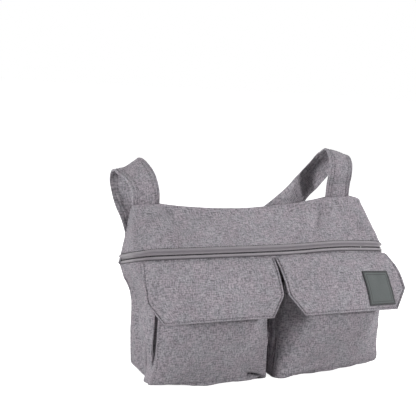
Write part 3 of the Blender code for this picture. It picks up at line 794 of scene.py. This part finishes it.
def coil(name, height):
    """A monofilament coil as a tube whose rings swell and shrink by turns, one tooth to a pair."""
    rings = int(TAPE_LENGTH / COIL_PITCH) * 2
    bpy.ops.mesh.primitive_cylinder_add(vertices=6, radius=1, depth=1, end_fill_type="TRIFAN")
    obj = bpy.context.object
    made = bmesh.new()
    made.from_mesh(obj.data)
    long_edges = [edge for edge in made.edges if abs(edge.verts[0].co.z - edge.verts[1].co.z) > 0.5]
    bmesh.ops.subdivide_edges(made, edges=long_edges, cuts=rings - 1)
    for vertex in made.verts:
        k = round((vertex.co.z + 0.5) * rings)
        radius = COIL_RADIUS * (1.0 if k % 2 else COIL_WAIST)
        u = k / rings
        centre = band_at(u, height, COIL_INSET)
        ahead = band_at(u + 0.001, height, COIL_INSET) - band_at(u - 0.001, height, COIL_INSET)
        up = Vector((0, 0, 1))
        out = ahead.cross(up).normalized()
        vertex.co = centre + (out * vertex.co.x + up * vertex.co.y) * radius
    bmesh.ops.recalc_face_normals(made, faces=made.faces)
    made.to_mesh(obj.data)
    made.free()
    finished(obj, f"zip_coil_{name}_teeth", nylon, f"zip_coil_{name}")


coil("lower", CHAIN_LOW - COIL_RADIUS)
coil("upper", CHAIN_HIGH + COIL_RADIUS)


# Slider, puller and stops
# Die-cast zinc with a dark satin finish. The slider's two plates hold the tapes between them.
# Its bridge carries a flat puller with a raised rim, and a crimped stop closes each end of the chain.
SLIDER_SIZE = (0.011, 0.0012, 0.0076)
SLIDER_PLAY = 0.0004
SLIDER_BACK = 0.00425
SLIDER_NOSE = 0.0028
SLIDER_EDGE = 0.0003
NECK = (0.0025, 0.0005)
NECK_SHORTER = 0.0004
BRIDGE = (0.0068, 0.0026, 0.0016)
BRIDGE_BAR = 0.0008
POST = 0.001
POST_SUNK = 0.0005
PULLER_SIZE = (0.024, 0.001, 0.007)
PULLER_BEHIND = 0.001
PULLER_NOSE = 0.0022
RECESS_SIZE = (0.0135, 0.001, 0.0046)
RECESS_PLACE = 0.0142
RECESS_LIFT = 0.0008
EYE_SIZE = (0.0034, 0.004, 0.0032)
EYE_PLACE = 0.0022
STOP_EDGE = 0.0003
PLATE_TOP = SLIDER_PLAY + SLIDER_SIZE[1]
PIVOT_HEIGHT = PLATE_TOP + 0.0009

gunmetal = new_material("slider_metal", (0.13, 0.13, 0.14), 0.3, 1.0)
worn_gloss(gunmetal, 420, 0.26, 0.45)
bumped(gunmetal, noise_at(gunmetal, coordinates(gunmetal, "Object"), 2200), 0.3, 0.00005)

joints = {joint["type"]: joint for joint in frame["joints"]}
travel = Vector(joints["slide"]["axis"]).normalized()
outwards = Vector((1, 0, 0))
pivot = Vector(joints["hinge"]["pos_m"])
slider_axes = Matrix((travel, outwards, travel.cross(outwards))).transposed().to_4x4()


def metal_block(size, centre, edge=0.0):
    bpy.ops.mesh.primitive_cube_add(size=1)
    block = bpy.context.object
    block.data.transform(Matrix.Translation(centre) @ Matrix.Diagonal((*size, 1)))
    if edge:
        soften(block, edge, 3)
        apply_all(block)
    return block


def rounded_nose(size, centre, nose, edge):
    """A plate whose corners are cut round, the front ones more, as seen along its thickness."""
    plate = metal_block(size, centre)
    made = bmesh.new()
    made.from_mesh(plate.data)
    upright = [e for e in made.edges if abs(e.verts[0].co.y - e.verts[1].co.y) > size[1] / 2]
    front_ones = [e for e in upright if e.verts[0].co.x > centre[0]]
    rear_ones = [e for e in upright if e.verts[0].co.x < centre[0]]
    bmesh.ops.bevel(made, geom=front_ones, offset=nose, segments=5, affect="EDGES", profile=0.5)
    rear_ones = [e for e in rear_ones if e.is_valid]
    bmesh.ops.bevel(made, geom=rear_ones, offset=nose / 2, segments=3, affect="EDGES", profile=0.5)
    made.to_mesh(plate.data)
    made.free()
    soften(plate, edge, 2)
    apply_all(plate)
    return plate


def combined(blocks, operation):
    """The first block after a boolean with each of the others, which are used up."""
    whole = blocks[0]
    for other in blocks[1:]:
        boolean = whole.modifiers.new("boolean", "BOOLEAN")
        boolean.operation = operation
        boolean.object = other
        apply_all(whole)
        bpy.data.objects.remove(other)
    return whole


def set_on_bridge(obj, node):
    obj.data.transform(Matrix.Translation(pivot) @ slider_axes @ Matrix.Translation((0, -PIVOT_HEIGHT, 0)))
    obj.data.shade_smooth()
    obj.data.set_sharp_from_angle(angle=math.radians(35))
    finished(obj, f"{node}_cast", gunmetal, node, node)


bridge_top = PLATE_TOP + BRIDGE[1]
post_size = (POST, BRIDGE[1] + POST_SUNK, BRIDGE[2])
plates = [rounded_nose(SLIDER_SIZE, (0, foot + SLIDER_SIZE[1] / 2, 0), SLIDER_NOSE, SLIDER_EDGE)
          for foot in (SLIDER_PLAY, -SLIDER_BACK)]
neck = metal_block((NECK[0], SLIDER_BACK + PLATE_TOP - NECK_SHORTER, NECK[1]),
                   (0, (PLATE_TOP - SLIDER_BACK) / 2, 0))
posts = [metal_block(post_size, (end * (BRIDGE[0] - POST) / 2, bridge_top - post_size[1] / 2, 0), 0.0002)
         for end in (1, -1)]
bar = metal_block((BRIDGE[0], BRIDGE_BAR, BRIDGE[2]), (0, bridge_top - BRIDGE_BAR / 2, 0), 0.00025)
set_on_bridge(combined([*plates, neck, *posts, bar], "UNION"), "zip_slider")

puller_middle = ((PULLER_SIZE[0] - PULLER_BEHIND) / 2, PIVOT_HEIGHT, 0)
puller = rounded_nose(PULLER_SIZE, puller_middle, PULLER_NOSE, 0.00025)
recesses = [rounded_nose(RECESS_SIZE, (RECESS_PLACE, PIVOT_HEIGHT + face * RECESS_LIFT, 0), 0.0014, 0.0001)
            for face in (1, -1)]
eye = metal_block(EYE_SIZE, (EYE_PLACE, PIVOT_HEIGHT, 0), 0.0008)
set_on_bridge(combined([puller, *recesses, eye], "DIFFERENCE"), "zip_puller")

for stop_name in ("zip_stop_left", "zip_stop_right"):
    stop = frame["nodes"][stop_name]
    stop.data.materials.clear()
    stop.data.materials.append(gunmetal)
    stop.modifiers.new("weld", "WELD").merge_threshold = 0.00001
    soften(stop, STOP_EDGE, 3)


# Bellows pockets
# Each pocket is a face of thin cloth and one gusset that runs down a side, along the bottom and up again.
# The gusset bulges out beside the body and folds in behind the face; the face's edge stands over the fold.
POCKET_HEIGHT = 0.122
POCKET_OUTER = 0.158
POCKET_INNER = 0.005
POCKET_FOOT = (0.005, 0.040)
POCKET_LEAN = 0.010
POCKET_CORNER = 0.0035
POCKET_CLOTH = 0.0022
GUSSET_CLOTH = 0.0014
FACE_FOOT_DEPTH = 0.087
FACE_EDGE_DEPTH = 0.092
FACE_DEPTHS = ((0, 0.087), (0.041, 0.103), (0.0805, 0.110), (0.122, 0.0955))
FACE_SIZE = (0.156, 0.128)
GUSSET_SIZE = (0.395, 0.036)
GUSSET_ROLL = ((0, 0.0, 0.0), (0.14, 0.16, 0.0020), (0.30, 0.42, 0.0060), (0.44, 0.68, 0.0082),
               (0.55, 0.88, 0.0070), (0.63, 0.98, 0.0046), (0.69, 1.01, 0.0030), (0.75, 0.96, 0.0019),
               (0.82, 0.82, 0.0016), (0.88, 0.76, 0.0004), (0.94, 0.84, -0.0020), (1, 0.97, -0.0040))
POCKET_HEM = 0.010
POCKET_STITCH_INSET = 0.0022
LEFT_FOOT_TURN = 0.0065
LEFT_EDGE_DEPTH = 0.0012
LEFT_EDGE_REACH = 0.004
RIGHT_FOOT_TURN = 0.0055
RIGHT_FOOT_FLARE = 0.09
RIGHT_FOOT_SHARE = 0.8
RIGHT_OPENED = (0.004, 0.095)
RIGHT_EDGE_DEPTHS = (0.0070, 0.0150)
RIGHT_EDGE_REACHES = (0.016, 0.035)
RIGHT_FALL = 0.0050
RIGHT_FALL_REACH = (0.035, 0.150)
RIGHT_FALL_HEIGHT = 0.16


def pocket_edges(z):
    foot = POCKET_FOOT[0] * (1 - share_of(z, 0, POCKET_FOOT[1])) ** 2
    return POCKET_OUTER + foot, POCKET_INNER + POCKET_LEAN * share_of(z, 0, POCKET_HEIGHT)


def face_depth(across, z):
    edge = between(FACE_FOOT_DEPTH, FACE_EDGE_DEPTH, share_of(z, 0, POCKET_HEIGHT))
    return between(edge, through(FACE_DEPTHS, z)[0], 1 - abs(across) ** 3)


def turned_under(z, reach):
    """The foot of a face turns back on a quarter circle."""
    return reach * (1 - math.sqrt(max(1 - max(1 - z / reach, 0) ** 2, 0.03)))


def set_back(side, distance, z):
    """How far the filled face turns back at its foot and at its edges, and falls off beside its crest."""
    from_inner = max(distance - pocket_edges(z)[1], 0)
    if side < 0:
        edge = LEFT_EDGE_DEPTH * max(1 - from_inner / LEFT_EDGE_REACH, 0) ** 2
        return turned_under(z, LEFT_FOOT_TURN) + edge
    foot = turned_under(z, RIGHT_FOOT_TURN + RIGHT_FOOT_FLARE * from_inner) * RIGHT_FOOT_SHARE
    opened = share_of(z, *RIGHT_OPENED)
    reach = between(*RIGHT_EDGE_REACHES, opened)
    edge = between(*RIGHT_EDGE_DEPTHS, opened) * max(1 - from_inner / reach, 0) ** 2
    falling = RIGHT_FALL * share_of(from_inner, *RIGHT_FALL_REACH) ** 1.3
    return foot + edge + falling * math.sin(math.pi * share_of(z, 0, RIGHT_FALL_HEIGHT))


def depth_at(side, distance, z):
    outer, inner = pocket_edges(z)
    return face_depth((2 * distance - outer - inner) / (outer - inner), z) - set_back(side, distance, z)


def boxing(q, outer, inner):
    """(distance, z) on the gusset's U: outer side down, corner, bottom, corner, inner side up."""
    part = min(int(q), 4)
    f = q - part
    r = POCKET_CORNER
    turn = f * math.pi / 2
    if part == 0:
        return outer, POCKET_HEIGHT + (r - POCKET_HEIGHT) * f
    if part == 1:
        return outer - r + r * math.cos(turn), r - r * math.sin(turn)
    if part == 2:
        return outer - r + (inner - outer + 2 * r) * f, 0.0
    if part == 3:
        return inner + r - r * math.sin(turn), r - r * math.cos(turn)
    return inner, r + (POCKET_HEIGHT - r) * f


def face_at(side, u, v):
    z = v * POCKET_HEIGHT
    outer, inner = pocket_edges(z)
    distance = between(outer, inner, u if side < 0 else 1 - u)
    return hung(side * distance, depth_at(side, distance, z), z)


GUSSET_SPANS = (0, 0.30, 0.325, 0.675, 0.70, 1)
GUSSET_WALL = BASE_SECTION[0] - 0.0006
GUSSET_GAP = 0.0006
GUSSET_REAR_GAP = 0.0003
GUSSET_OPENED = (0.012, 0.060)
GUSSET_FOOT_ROLL = 0.12
GUSSET_INNER_ROLL = 0.3
GUSSET_FOOT_SWELL = 0.004
GUSSET_CORNER = (0.149, 0.155)
GUSSET_CORNER_BACK = 0.0050


def gusset_at(side, u, v):
    """u runs round the U from the left side, v from the body to the face."""
    q = float(np.interp(u if side < 0 else 1 - u, GUSSET_SPANS, range(6)))
    height = boxing(q, POCKET_OUTER, POCKET_INNER)[1]
    outer, inner = pocket_edges(height)
    forwards, out = through(GUSSET_ROLL, v)
    opened = share_of(height, *GUSSET_OPENED)
    roll = between(GUSSET_FOOT_ROLL, 1, opened * opened * (3 - 2 * opened))
    forwards = between(v, forwards, roll)
    outer_here = between(GUSSET_WALL, outer, forwards) + out * roll
    inner_here = between(POCKET_INNER, inner, forwards) - out * roll * GUSSET_INNER_ROLL
    distance, z = boxing(q, outer_here, inner_here)
    swell = GUSSET_FOOT_SWELL * (1 - share_of(height, 0, 0.02)) * math.sin(math.pi * v)
    distance += swell * share_of(distance, 0.1, 0.15)
    z = max(z, 0.0)
    rear = section_at(z)[1] + GUSSET_REAR_GAP - GUSSET_CORNER_BACK * share_of(distance, *GUSSET_CORNER)
    front_depth = depth_at(side, distance, z) - POCKET_CLOTH - GUSSET_GAP
    return hung(side * distance, between(rear, front_depth, forwards), z)


POCKET_CREASES = {
    -1: (((-0.038, 0.0105), (-0.014, 0.0030), 0.0034, 0.0064),
         ((-0.027, 0.0085), (-0.009, 0.0020), 0.0036, 0.0055),
         ((-0.022, 0.019), (-0.009, 0.008), 0.0035, -0.0028),
         ((-0.030, 0.002), (-0.052, 0.030), 0.008, 0.0016),
         ((-0.150, 0.070), (-0.120, 0.040), 0.010, 0.0008),
         ((-0.110, 0.010), (-0.095, 0.045), 0.012, 0.0012),
         ((-0.070, 0.006), (-0.075, 0.040), 0.010, -0.0008),
         ((-0.020, 0.040), (-0.018, 0.100), 0.006, 0.0012),
         ((-0.140, 0.006), (-0.128, 0.030), 0.008, -0.0008)),
    1: (((0.014, 0.005), (0.068, 0.0150), 0.0050, -0.0030),
        ((0.024, 0.001), (0.080, 0.006), 0.004, 0.0016),
        ((0.026, 0.010), (0.060, 0.060), 0.010, -0.0018),
        ((0.070, 0.028), (0.118, 0.042), 0.014, 0.0018),
        ((0.105, 0.012), (0.138, 0.060), 0.012, -0.0012),
        ((0.146, 0.030), (0.150, 0.090), 0.008, 0.0014)),
}
HEM_LINE = (0.0005, 0.0012)
FOOT_WAVES = (0.0007, 0.009)
FOOT_SEAM = (0.0058, 0.0012)
FOOT_GROOVE = (0.0025, 0.0015)
LIP = (0.0012, 0.0025)
LIP_RIPPLE = (0.0010, 0.004)
LIP_HEIGHTS = (0.030, 0.070)


def pocket_face_relief(side):
    def relief(u, v, point):
        near = min(u, 1 - u) * FACE_SIZE[0]
        soft = uneven(point, (41 + side, 0.0022, 0.045), (47 + side, 0.0007, 0.014))
        soft *= share_of(near, 0, 0.008)
        soft += sum(crease(point, *line) for line in POCKET_CREASES[side]) * share_of(near, 0, 0.003)
        hem = HEM_LINE[0] * hump((1 - v) * FACE_SIZE[1] - POCKET_HEM, HEM_LINE[1])
        waves = ripple(point.x * 70, side, 1.5) + 0.3 * ripple(point.x * 150, 4, side)
        foot = FOOT_WAVES[0] * waves * math.exp(-v * FACE_SIZE[1] / FOOT_WAVES[1])
        seam_height = FOOT_SEAM[0] + FOOT_SEAM[1] * ripple(point.x * 60, side, 3.1)
        groove = FOOT_GROOVE[0] * hump(point.z - seam_height, FOOT_GROOVE[1])
        foot -= groove * share_of(near, 0.002, 0.010)
        lip = 0.0
        if side < 0:
            gap = u * FACE_SIZE[0]
            rippled = LIP_RIPPLE[0] * ripple(point.z * 130, 2.2, 0.4) * math.exp(-gap / LIP_RIPPLE[1])
            lip = share_of(point.z, *LIP_HEIGHTS) * (LIP[0] * hump(gap, LIP[1]) + rippled)
        return soft + lip + rolled(u, v, FACE_SIZE, "lr", 0.0009, 0.003) * (1 - lip * 500) - hem + foot

    return relief


def gusset_relief(side):
    def relief(u, v, point):
        inner_side = share_of(-abs(point.x), -0.03, -0.02) * share_of(point.z, 0, 0.02)
        ribs = 0.0016 * math.sin(v * 6 * math.pi + 9 * noise.noise(point * 14)) * inner_side
        soft = uneven(point, (51 + side, 0.0016, 0.020), (55 + side, 0.0007, 0.009))
        return (ribs + soft * share_of(point.z, 0.001, 0.01)) * math.sin(math.pi * v)

    return relief


def pocket(side, name):
    def shape(u, v):
        return face_at(side, u, v)

    relief = pocket_face_relief(side)
    face = cloth(f"pocket_{name}_face_cloth", f"pocket_{name}_face", shape, FACE_SIZE, 132, 112,
                 POCKET_CLOTH, relief, edge=0.35, hem=POCKET_HEM)
    gusset = cloth(f"pocket_{name}_gusset_cloth", f"pocket_{name}_gusset",
                   lambda u, v: gusset_at(side, u, v), GUSSET_SIZE, 210, 60, GUSSET_CLOTH,
                   gusset_relief(side))
    inset = POCKET_STITCH_INSET / FACE_SIZE[0]
    hem_line = 1 - POCKET_HEM / FACE_SIZE[1]
    paths = [straight((0.02, hem_line), (0.98, hem_line))]
    paths += [straight((u, 0.06), (u, 0.97)) for u in (inset, 1 - inset)]
    sew(f"pocket_{name}_stitches", [row_on(shape, path, 0.0001, 120, relief) for path in paths])


pocket(-1, "left")
pocket(1, "right")


# Flaps
# Each flap is two layers of the cloth sewn under the zip, turned and topstitched 2 mm from its edges.
# Its lower corners are cut off, and it rides out over the filled pocket. Both taper towards the zip.
FLAP_CLOTH = 0.002
FLAP_LENGTH = 0.084
FLAP_WIDTH = 0.170
FLAP_OUTER = 0.1795
FLAP_TOP_OUTER = 0.1715
FLAP_MIDDLE = 0.003
FLAP_GAPS = (0.002, 0.0075)
FLAP_CHAMFER = 0.0185
FLAP_WIDE = 0.65
FLAP_START = 0.0683
FLAP_PROFILE = ((0, 0.1544, FLAP_START), (0.3, 0.139, 0.08715), (0.65, 0.115, 0.106), (1, 0.0915, 0.119))
FLAP_SWELL = {-1: 1.0, 1: 0.55}
FLAP_LIFT = {-1: 2, 1: 3.2}
FLAP_STITCH_INSET = 0.0026
FLAP_GROOVE = (0.0013, 0.0009)


def flap_at(side, u, v):
    """u from the flap's left edge, v from its foot up to its seam."""
    t = 1 - v
    wide = share_of(t, 0, FLAP_WIDE)
    chamfer = FLAP_CHAMFER * share_of(t, FLAP_WIDE, 1)
    swell = math.sin(wide * math.pi / 2) ** FLAP_SWELL[side]
    outer = between(FLAP_TOP_OUTER, FLAP_OUTER, swell) - chamfer
    inner = FLAP_MIDDLE + side * (between(*FLAP_GAPS, wide) / 2 + chamfer)
    x = between(-outer, inner, u) if side < 0 else between(inner, outer, u)
    z, depth = through(FLAP_PROFILE, t)
    past_corner = max(abs(x) - (ZIP_SECTION[0] - ZIP_SECTION[2]), 0)
    back_off = ZIP_SECTION[2] - math.sqrt(max(ZIP_SECTION[2] ** 2 - past_corner**2, 0))
    return hung(x, depth - back_off * (1 - wide) ** FLAP_LIFT[side], z)


def flap_relief(side):
    def relief(u, v, point):
        near = min(u * FLAP_WIDTH, (1 - u) * FLAP_WIDTH, v * FLAP_LENGTH)
        soft = uneven(point, (61 + side, 0.0020, 0.040), (65 + side, 0.0006, 0.013))
        soft += 0.0010 * ripple(point.x * 45, 7 + side, 0.3) * math.exp(-(1 - v) * FLAP_LENGTH / 0.014)
        soft *= share_of(near, 0, 0.012)
        groove = FLAP_GROOVE[0] * hump(near - FLAP_STITCH_INSET, FLAP_GROOVE[1])
        return soft - groove + rolled(u, v, (FLAP_WIDTH, FLAP_LENGTH), "t", 0.0016, 0.004)

    return relief


def flap(side, name):
    def shape(u, v):
        return flap_at(side, u, v)

    relief = flap_relief(side)
    piece = cloth(f"flap_{name}_cloth", f"flap_{name}", shape, (FLAP_WIDTH, FLAP_LENGTH), 144, 84,
                  FLAP_CLOTH, relief, edge=0.4, hem=0.006)
    inset = FLAP_STITCH_INSET / FLAP_WIDTH
    foot = FLAP_STITCH_INSET / FLAP_LENGTH
    rows = [row_on(shape, straight((u, foot), (u, 0.97)), 0.0001, 120, relief)
            for u in (inset, 1 - inset)]
    rows.append(row_on(shape, straight((inset, foot), (1 - inset, foot)), 0.0001, 160, relief))
    sew(f"flap_{name}_stitches", rows)


flap(-1, "left")
flap(1, "right")


# Label
# A bare woven patch of dark grey satin, stitched flat to the right flap just inside its border.
LABEL_WIDTH = 0.039
LABEL_PLACE = (0.139, 0.37, 0.92)
LABEL_THICK = 0.001
LABEL_LONG = 0.043
LABEL_DARK = (0.062, 0.073, 0.073)
BORDER_DARK = (0.016, 0.019, 0.020)
LABEL_FRAME = 0.0046
LABEL_STITCH_INSET = 0.0014


def from_ends(value, length):
    """The lesser of the distances from both ends of a length, in the label's material."""
    return maths(label_weave, "MINIMUM", value, maths(label_weave, "SUBTRACT", length, value))


label_weave = new_material("label_satin", LABEL_DARK, 0.62)
label_uv = coordinates(label_weave, "UV")
label_split = add_node(label_weave, "ShaderNodeSeparateXYZ", Vector=label_uv).outputs
near_edge = maths(label_weave, "MINIMUM", from_ends(label_split[0], LABEL_WIDTH),
                  from_ends(label_split[1], LABEL_LONG))
frame_line = maths(label_weave, "ABSOLUTE", maths(label_weave, "SUBTRACT", near_edge, LABEL_FRAME))
inside = stretched(label_weave, near_edge, 0.0022, 0.0027)
beside_line = stretched(label_weave, frame_line, 0.0003, 0.0006, 0.15, 1.0)
label_ribs = noise_at(label_weave, label_uv, (5200, 1500, 1))
label_low, label_high = ((*(share * value for value in LABEL_DARK), 1) for share in (0.8, 1.2))
field = mixed(label_weave, "MIX", stretched(label_weave, label_ribs, 0.3, 0.7), label_low, label_high)
bare = maths(label_weave, "MULTIPLY", inside, beside_line)
set_shader(label_weave, Base_Color=mixed(label_weave, "MIX", bare, (*BORDER_DARK, 1), field))
label_relief = maths(label_weave, "ADD", label_ribs, maths(label_weave, "MULTIPLY", inside, -1.5))
bumped(label_weave, label_relief, 0.5, 0.00015)


def flap_share(side, x, t):
    """Where across the flap, from its left edge, x lies at share t of the way down."""
    left, right = (flap_at(side, u, 1 - t).x for u in (0, 1))
    return (x - left) / (right - left)


def flap_off(side, u, v, distance):
    """The point that far out from the flap's cloth at (u, v)."""
    here = flap_at(side, u, v)
    normal = outward(lambda a, b: flap_at(side, a, b), u, v, 0.01)
    return here + normal * (flap_relief(side)(u, v, here) + distance)


def label_at(u, v):
    x, high, low = LABEL_PLACE
    t = between(low, high, v)
    return flap_off(1, flap_share(1, x + (u - 0.5) * LABEL_WIDTH, t), 1 - t, 0.0003 + LABEL_THICK)


label = cloth("label_patch", "label", label_at, (LABEL_WIDTH, LABEL_LONG), 30, 32, LABEL_THICK, None,
              label_weave, edge=0.35)
side_share = LABEL_STITCH_INSET / LABEL_WIDTH
end_share = LABEL_STITCH_INSET / LABEL_LONG
label_paths = [straight((u, end_share), (u, 1 - end_share)) for u in (side_share, 1 - side_share)]
label_paths += [straight((side_share, v), (1 - side_share, v)) for v in (end_share, 1 - end_share)]
label_rows = [row_on(label_at, path) for path in label_paths]
sew("label_stitches", label_rows, pitch=0.0017, length=0.0013, width=0.00022)


# Straps
# Each strap is 35 mm of padded cloth, sewn into the top seam, that wraps over the handlebar to the back.
# Two rows of topstitching run along each edge, and a fastener patch is stitched down near its foot.
STRAP_WIDTH = 0.035
STRAP_CLOTH = 0.003
STRAP_LENGTHS = {"left": 0.210, "right": 0.280}
FASTENER = 0.0012
PATCH_WIDTH = 0.020
PATCH_LONG = 0.024
PATCH_PART = (0.11, 0.27)
PATCH_GROOVE = (0.0011, 0.0010)
TAIL_TAPE = (0.029, 0.022)
TAIL_PART = (0.92, 0.99)
TAIL_DEPTH = 0.0048
TAIL_INSET = 0.003
TAPE_GAP = 0.0003
LOOP_SQUARE = 0.046
STRAP_CROWN = 0.0006
STRAP_CHANNELS = ((0.0022, 0.0012, 0.0009), (0.0060, 0.0014, 0.0010))
STRAP_STATIONS = {
    "left": (
        (0, 0.003, -0.0010), (-0.0015, 0.0045, 0.016), (-0.0035, -0.004, 0.0285), (-0.0050, -0.018, 0.0365),
        (-0.0085, -0.032, 0.0415), (-0.012, -0.0435, 0.038), (-0.0135, -0.046, 0.024), (-0.012, -0.032, 0),
        (-0.008, -0.010, -0.023), (-0.003, -TAIL_DEPTH - 0.001, -0.043), (0, -TAIL_DEPTH, -0.075),
    ),
    "right": (
        (0, 0.003, -0.0006), (-0.001, 0.0055, 0.016), (-0.001, 0.008, 0.032), (0.003, 0, 0.048),
        (0.0095, -0.023, 0.0568), (0.007, -0.040, 0.046), (-0.010, -0.040, 0.027), (-0.038, -0.027, 0.009),
        (-0.070, -0.010, -0.011), (-0.100, -TAIL_DEPTH - 0.001, -0.031), (-0.130, -TAIL_DEPTH, -0.051),
    ),
}
STRAP_WIDTHS = {
    "left": ((1, 0, 0.027), (1, 0, 0.10), (0.93, 0, 0.32), (0.85, 0.03, 0.50), (0.81, 0.06, 0.58),
             (0.85, 0, 0.45), (0.93, 0, 0.30), (0.98, 0, 0.10), (1, 0, 0), (1, 0, 0), (1, 0, 0)),
    "right": ((1, 0, 0.027), (1, 0, 0), (1, 0, -0.05), (1, 0, -0.16), (1, 0, -0.24), (0.97, 0, -0.3),
              (0.85, 0.1, -0.5), (0.65, 0.15, -0.75), (0.5, 0, -0.87), (0.49, 0, -0.87), (0.49, 0, -0.87)),
}


def strap_axes(name, v):
    """The strap's middle, its unit width and its outward normal, v from its foot to its tail."""
    x = STRAP_PLACES[name]
    foot = TOP_HEIGHT + top_shift(x)
    knots = [(i, x + dx, HALF_DEPTH - depth, foot + rise)
             for i, (dx, depth, rise) in enumerate(STRAP_STATIONS[name])]
    widths = [(i, *across) for i, across in enumerate(STRAP_WIDTHS[name])]
    t = v * (len(knots) - 1)
    middle = Vector(through(knots, t))
    along = Vector(through(knots, min(t + 0.02, 10)) - through(knots, max(t - 0.02, 0))).normalized()
    across = Vector(through(widths, t))
    across = (across - along * across.dot(along)).normalized()
    return middle, across, across.cross(along)


def strap_at(name, u, v, lift=0.0):
    middle, across, outwards = strap_axes(name, v)
    return middle + across * ((u - 0.5) * STRAP_WIDTH) + outwards * lift


def strap_relief(name):
    low, high = PATCH_PART

    def relief(u, v, point):
        side = abs(u - 0.5) * STRAP_WIDTH
        edge = STRAP_WIDTH / 2 - side
        past_end = (abs(v - (low + high) / 2) - (high - low) / 2) * STRAP_LENGTHS[name]
        beyond = max(side - PATCH_WIDTH / 2, past_end)
        channel = sum(depth * hump(edge - inset, width) for inset, depth, width in STRAP_CHANNELS)
        channel = max(channel, PATCH_GROOVE[0] * hump(beyond, PATCH_GROOVE[1]))
        crown = STRAP_CROWN * (1 - (2 * side / STRAP_WIDTH) ** 2)
        soft = uneven(point, (71 + len(name), 0.0010, 0.018))
        return crown - channel + soft * share_of(v, 0, 0.06) * share_of(0.9 - v, 0, 0.1)

    return relief


def fastener(node, shape, size, columns, rows):
    tape = cloth(f"{node}_tape", node, shape, size, columns, rows, FASTENER, None, hook_black)


HOOK_DARK = (0.012, 0.012, 0.014)
HOOK_LIGHT = (0.045, 0.044, 0.050)
hook_black = woven("hook_and_loop_black", HOOK_DARK, HOOK_LIGHT, 0.0007, 0.9, 0.1, 0.0004)


def strap(name):
    size = (STRAP_WIDTH, STRAP_LENGTHS[name])
    relief = strap_relief(name)

    def outside(u, v):
        return strap_at(name, u, v, STRAP_CLOTH / 2)

    def on_strap(u, v):
        here = outside(u, v)
        return here + strap_axes(name, v)[2] * relief(u, v, here)

    def behind(inset, part):
        """The hidden face of the strap along that part of it, less an inset at both edges."""
        lift = -STRAP_CLOTH / 2 - TAPE_GAP - FASTENER
        return lambda u, v: strap_at(name, between(1 - inset, inset, u), between(*part, v), lift)

    piece = cloth(f"strap_{name}_cloth", f"strap_{name}", outside, size, 28, 150, STRAP_CLOTH, relief,
                  edge=0.42)
    outer_row, inner_row = (inset / STRAP_WIDTH for inset, _, _ in STRAP_CHANNELS)
    rows = [row_on(on_strap, straight((u, 0.012), (u, 0.982)), 0, 160)
            for u in (outer_row, inner_row, 1 - inner_row, 1 - outer_row)]
    sew(f"strap_{name}_stitches", rows)
    within = (1 - PATCH_WIDTH / STRAP_WIDTH) / 2
    fastener(f"strap_{name}_patch", behind(within, PATCH_PART), (PATCH_WIDTH, PATCH_LONG), 20, 24)
    fastener(f"strap_{name}_hook", behind(TAIL_INSET / STRAP_WIDTH, TAIL_PART), TAIL_TAPE, 24, 20)
    low, high = PATCH_PART
    square = ((within, low), (1 - within, low), (1 - within, high), (within, high), (within, low))

    def around(f):
        k = min(int(f * 4), 3)
        return straight(square[k], square[k + 1])(f * 4 - k)

    sew(f"strap_{name}_patch_stitches", [row_on(on_strap, around, 0.0001, 120)])
    centre = strap_at(name, 0.5, sum(TAIL_PART) / 2)

    def square_at(u, v):
        return Vector((centre.x - (u - 0.5) * LOOP_SQUARE, HALF_DEPTH + TAPE_GAP + FASTENER,
                       centre.z + (v - 0.5) * LOOP_SQUARE))

    fastener(f"back_loop_{name}", square_at, (LOOP_SQUARE, LOOP_SQUARE), 24, 24)


strap("left")
strap("right")


# Flap closures
# Hook tape is sewn behind each flap near its foot, and loop tape on the pocket's face just under it.
TAPE_SIZE = (0.080, 0.018)
HOOK_PART = (0.94, 0.72)
HOOK_GAP = 0.0006
LOOP_RISE = 0.001


def closure(side, name):
    hook_low, hook_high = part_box(f"flap_{name}_hook")
    middle = (hook_low[0] + hook_high[0]) / 2
    loop_low, loop_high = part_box(f"pocket_{name}_loop")

    def hook_at(u, v):
        t = between(*HOOK_PART, v)
        x = middle + (0.5 - u) * TAPE_SIZE[0]
        return flap_off(side, flap_share(side, x, t), 1 - t, -FLAP_CLOTH - HOOK_GAP - FASTENER)

    def loop_at(u, v):
        x = between(loop_low[0], loop_high[0], u)
        z = (loop_low[2] + LOOP_RISE + v * TAPE_SIZE[1]) / POCKET_HEIGHT
        outer, inner = pocket_edges(z * POCKET_HEIGHT)
        share = (x - (-outer if side < 0 else inner)) / (outer - inner)
        here = face_at(side, share, z)
        across = face_at(side, share + 0.01, z) - here
        normal = across.cross(face_at(side, share, z + 0.01) - here).normalized()
        return here + normal * (pocket_face_relief(side)(share, z, here) + TAPE_GAP + FASTENER)

    fastener(f"flap_{name}_hook", hook_at, TAPE_SIZE, 40, 12)
    fastener(f"pocket_{name}_loop", loop_at, TAPE_SIZE, 40, 12)


closure(-1, "left")
closure(1, "right")
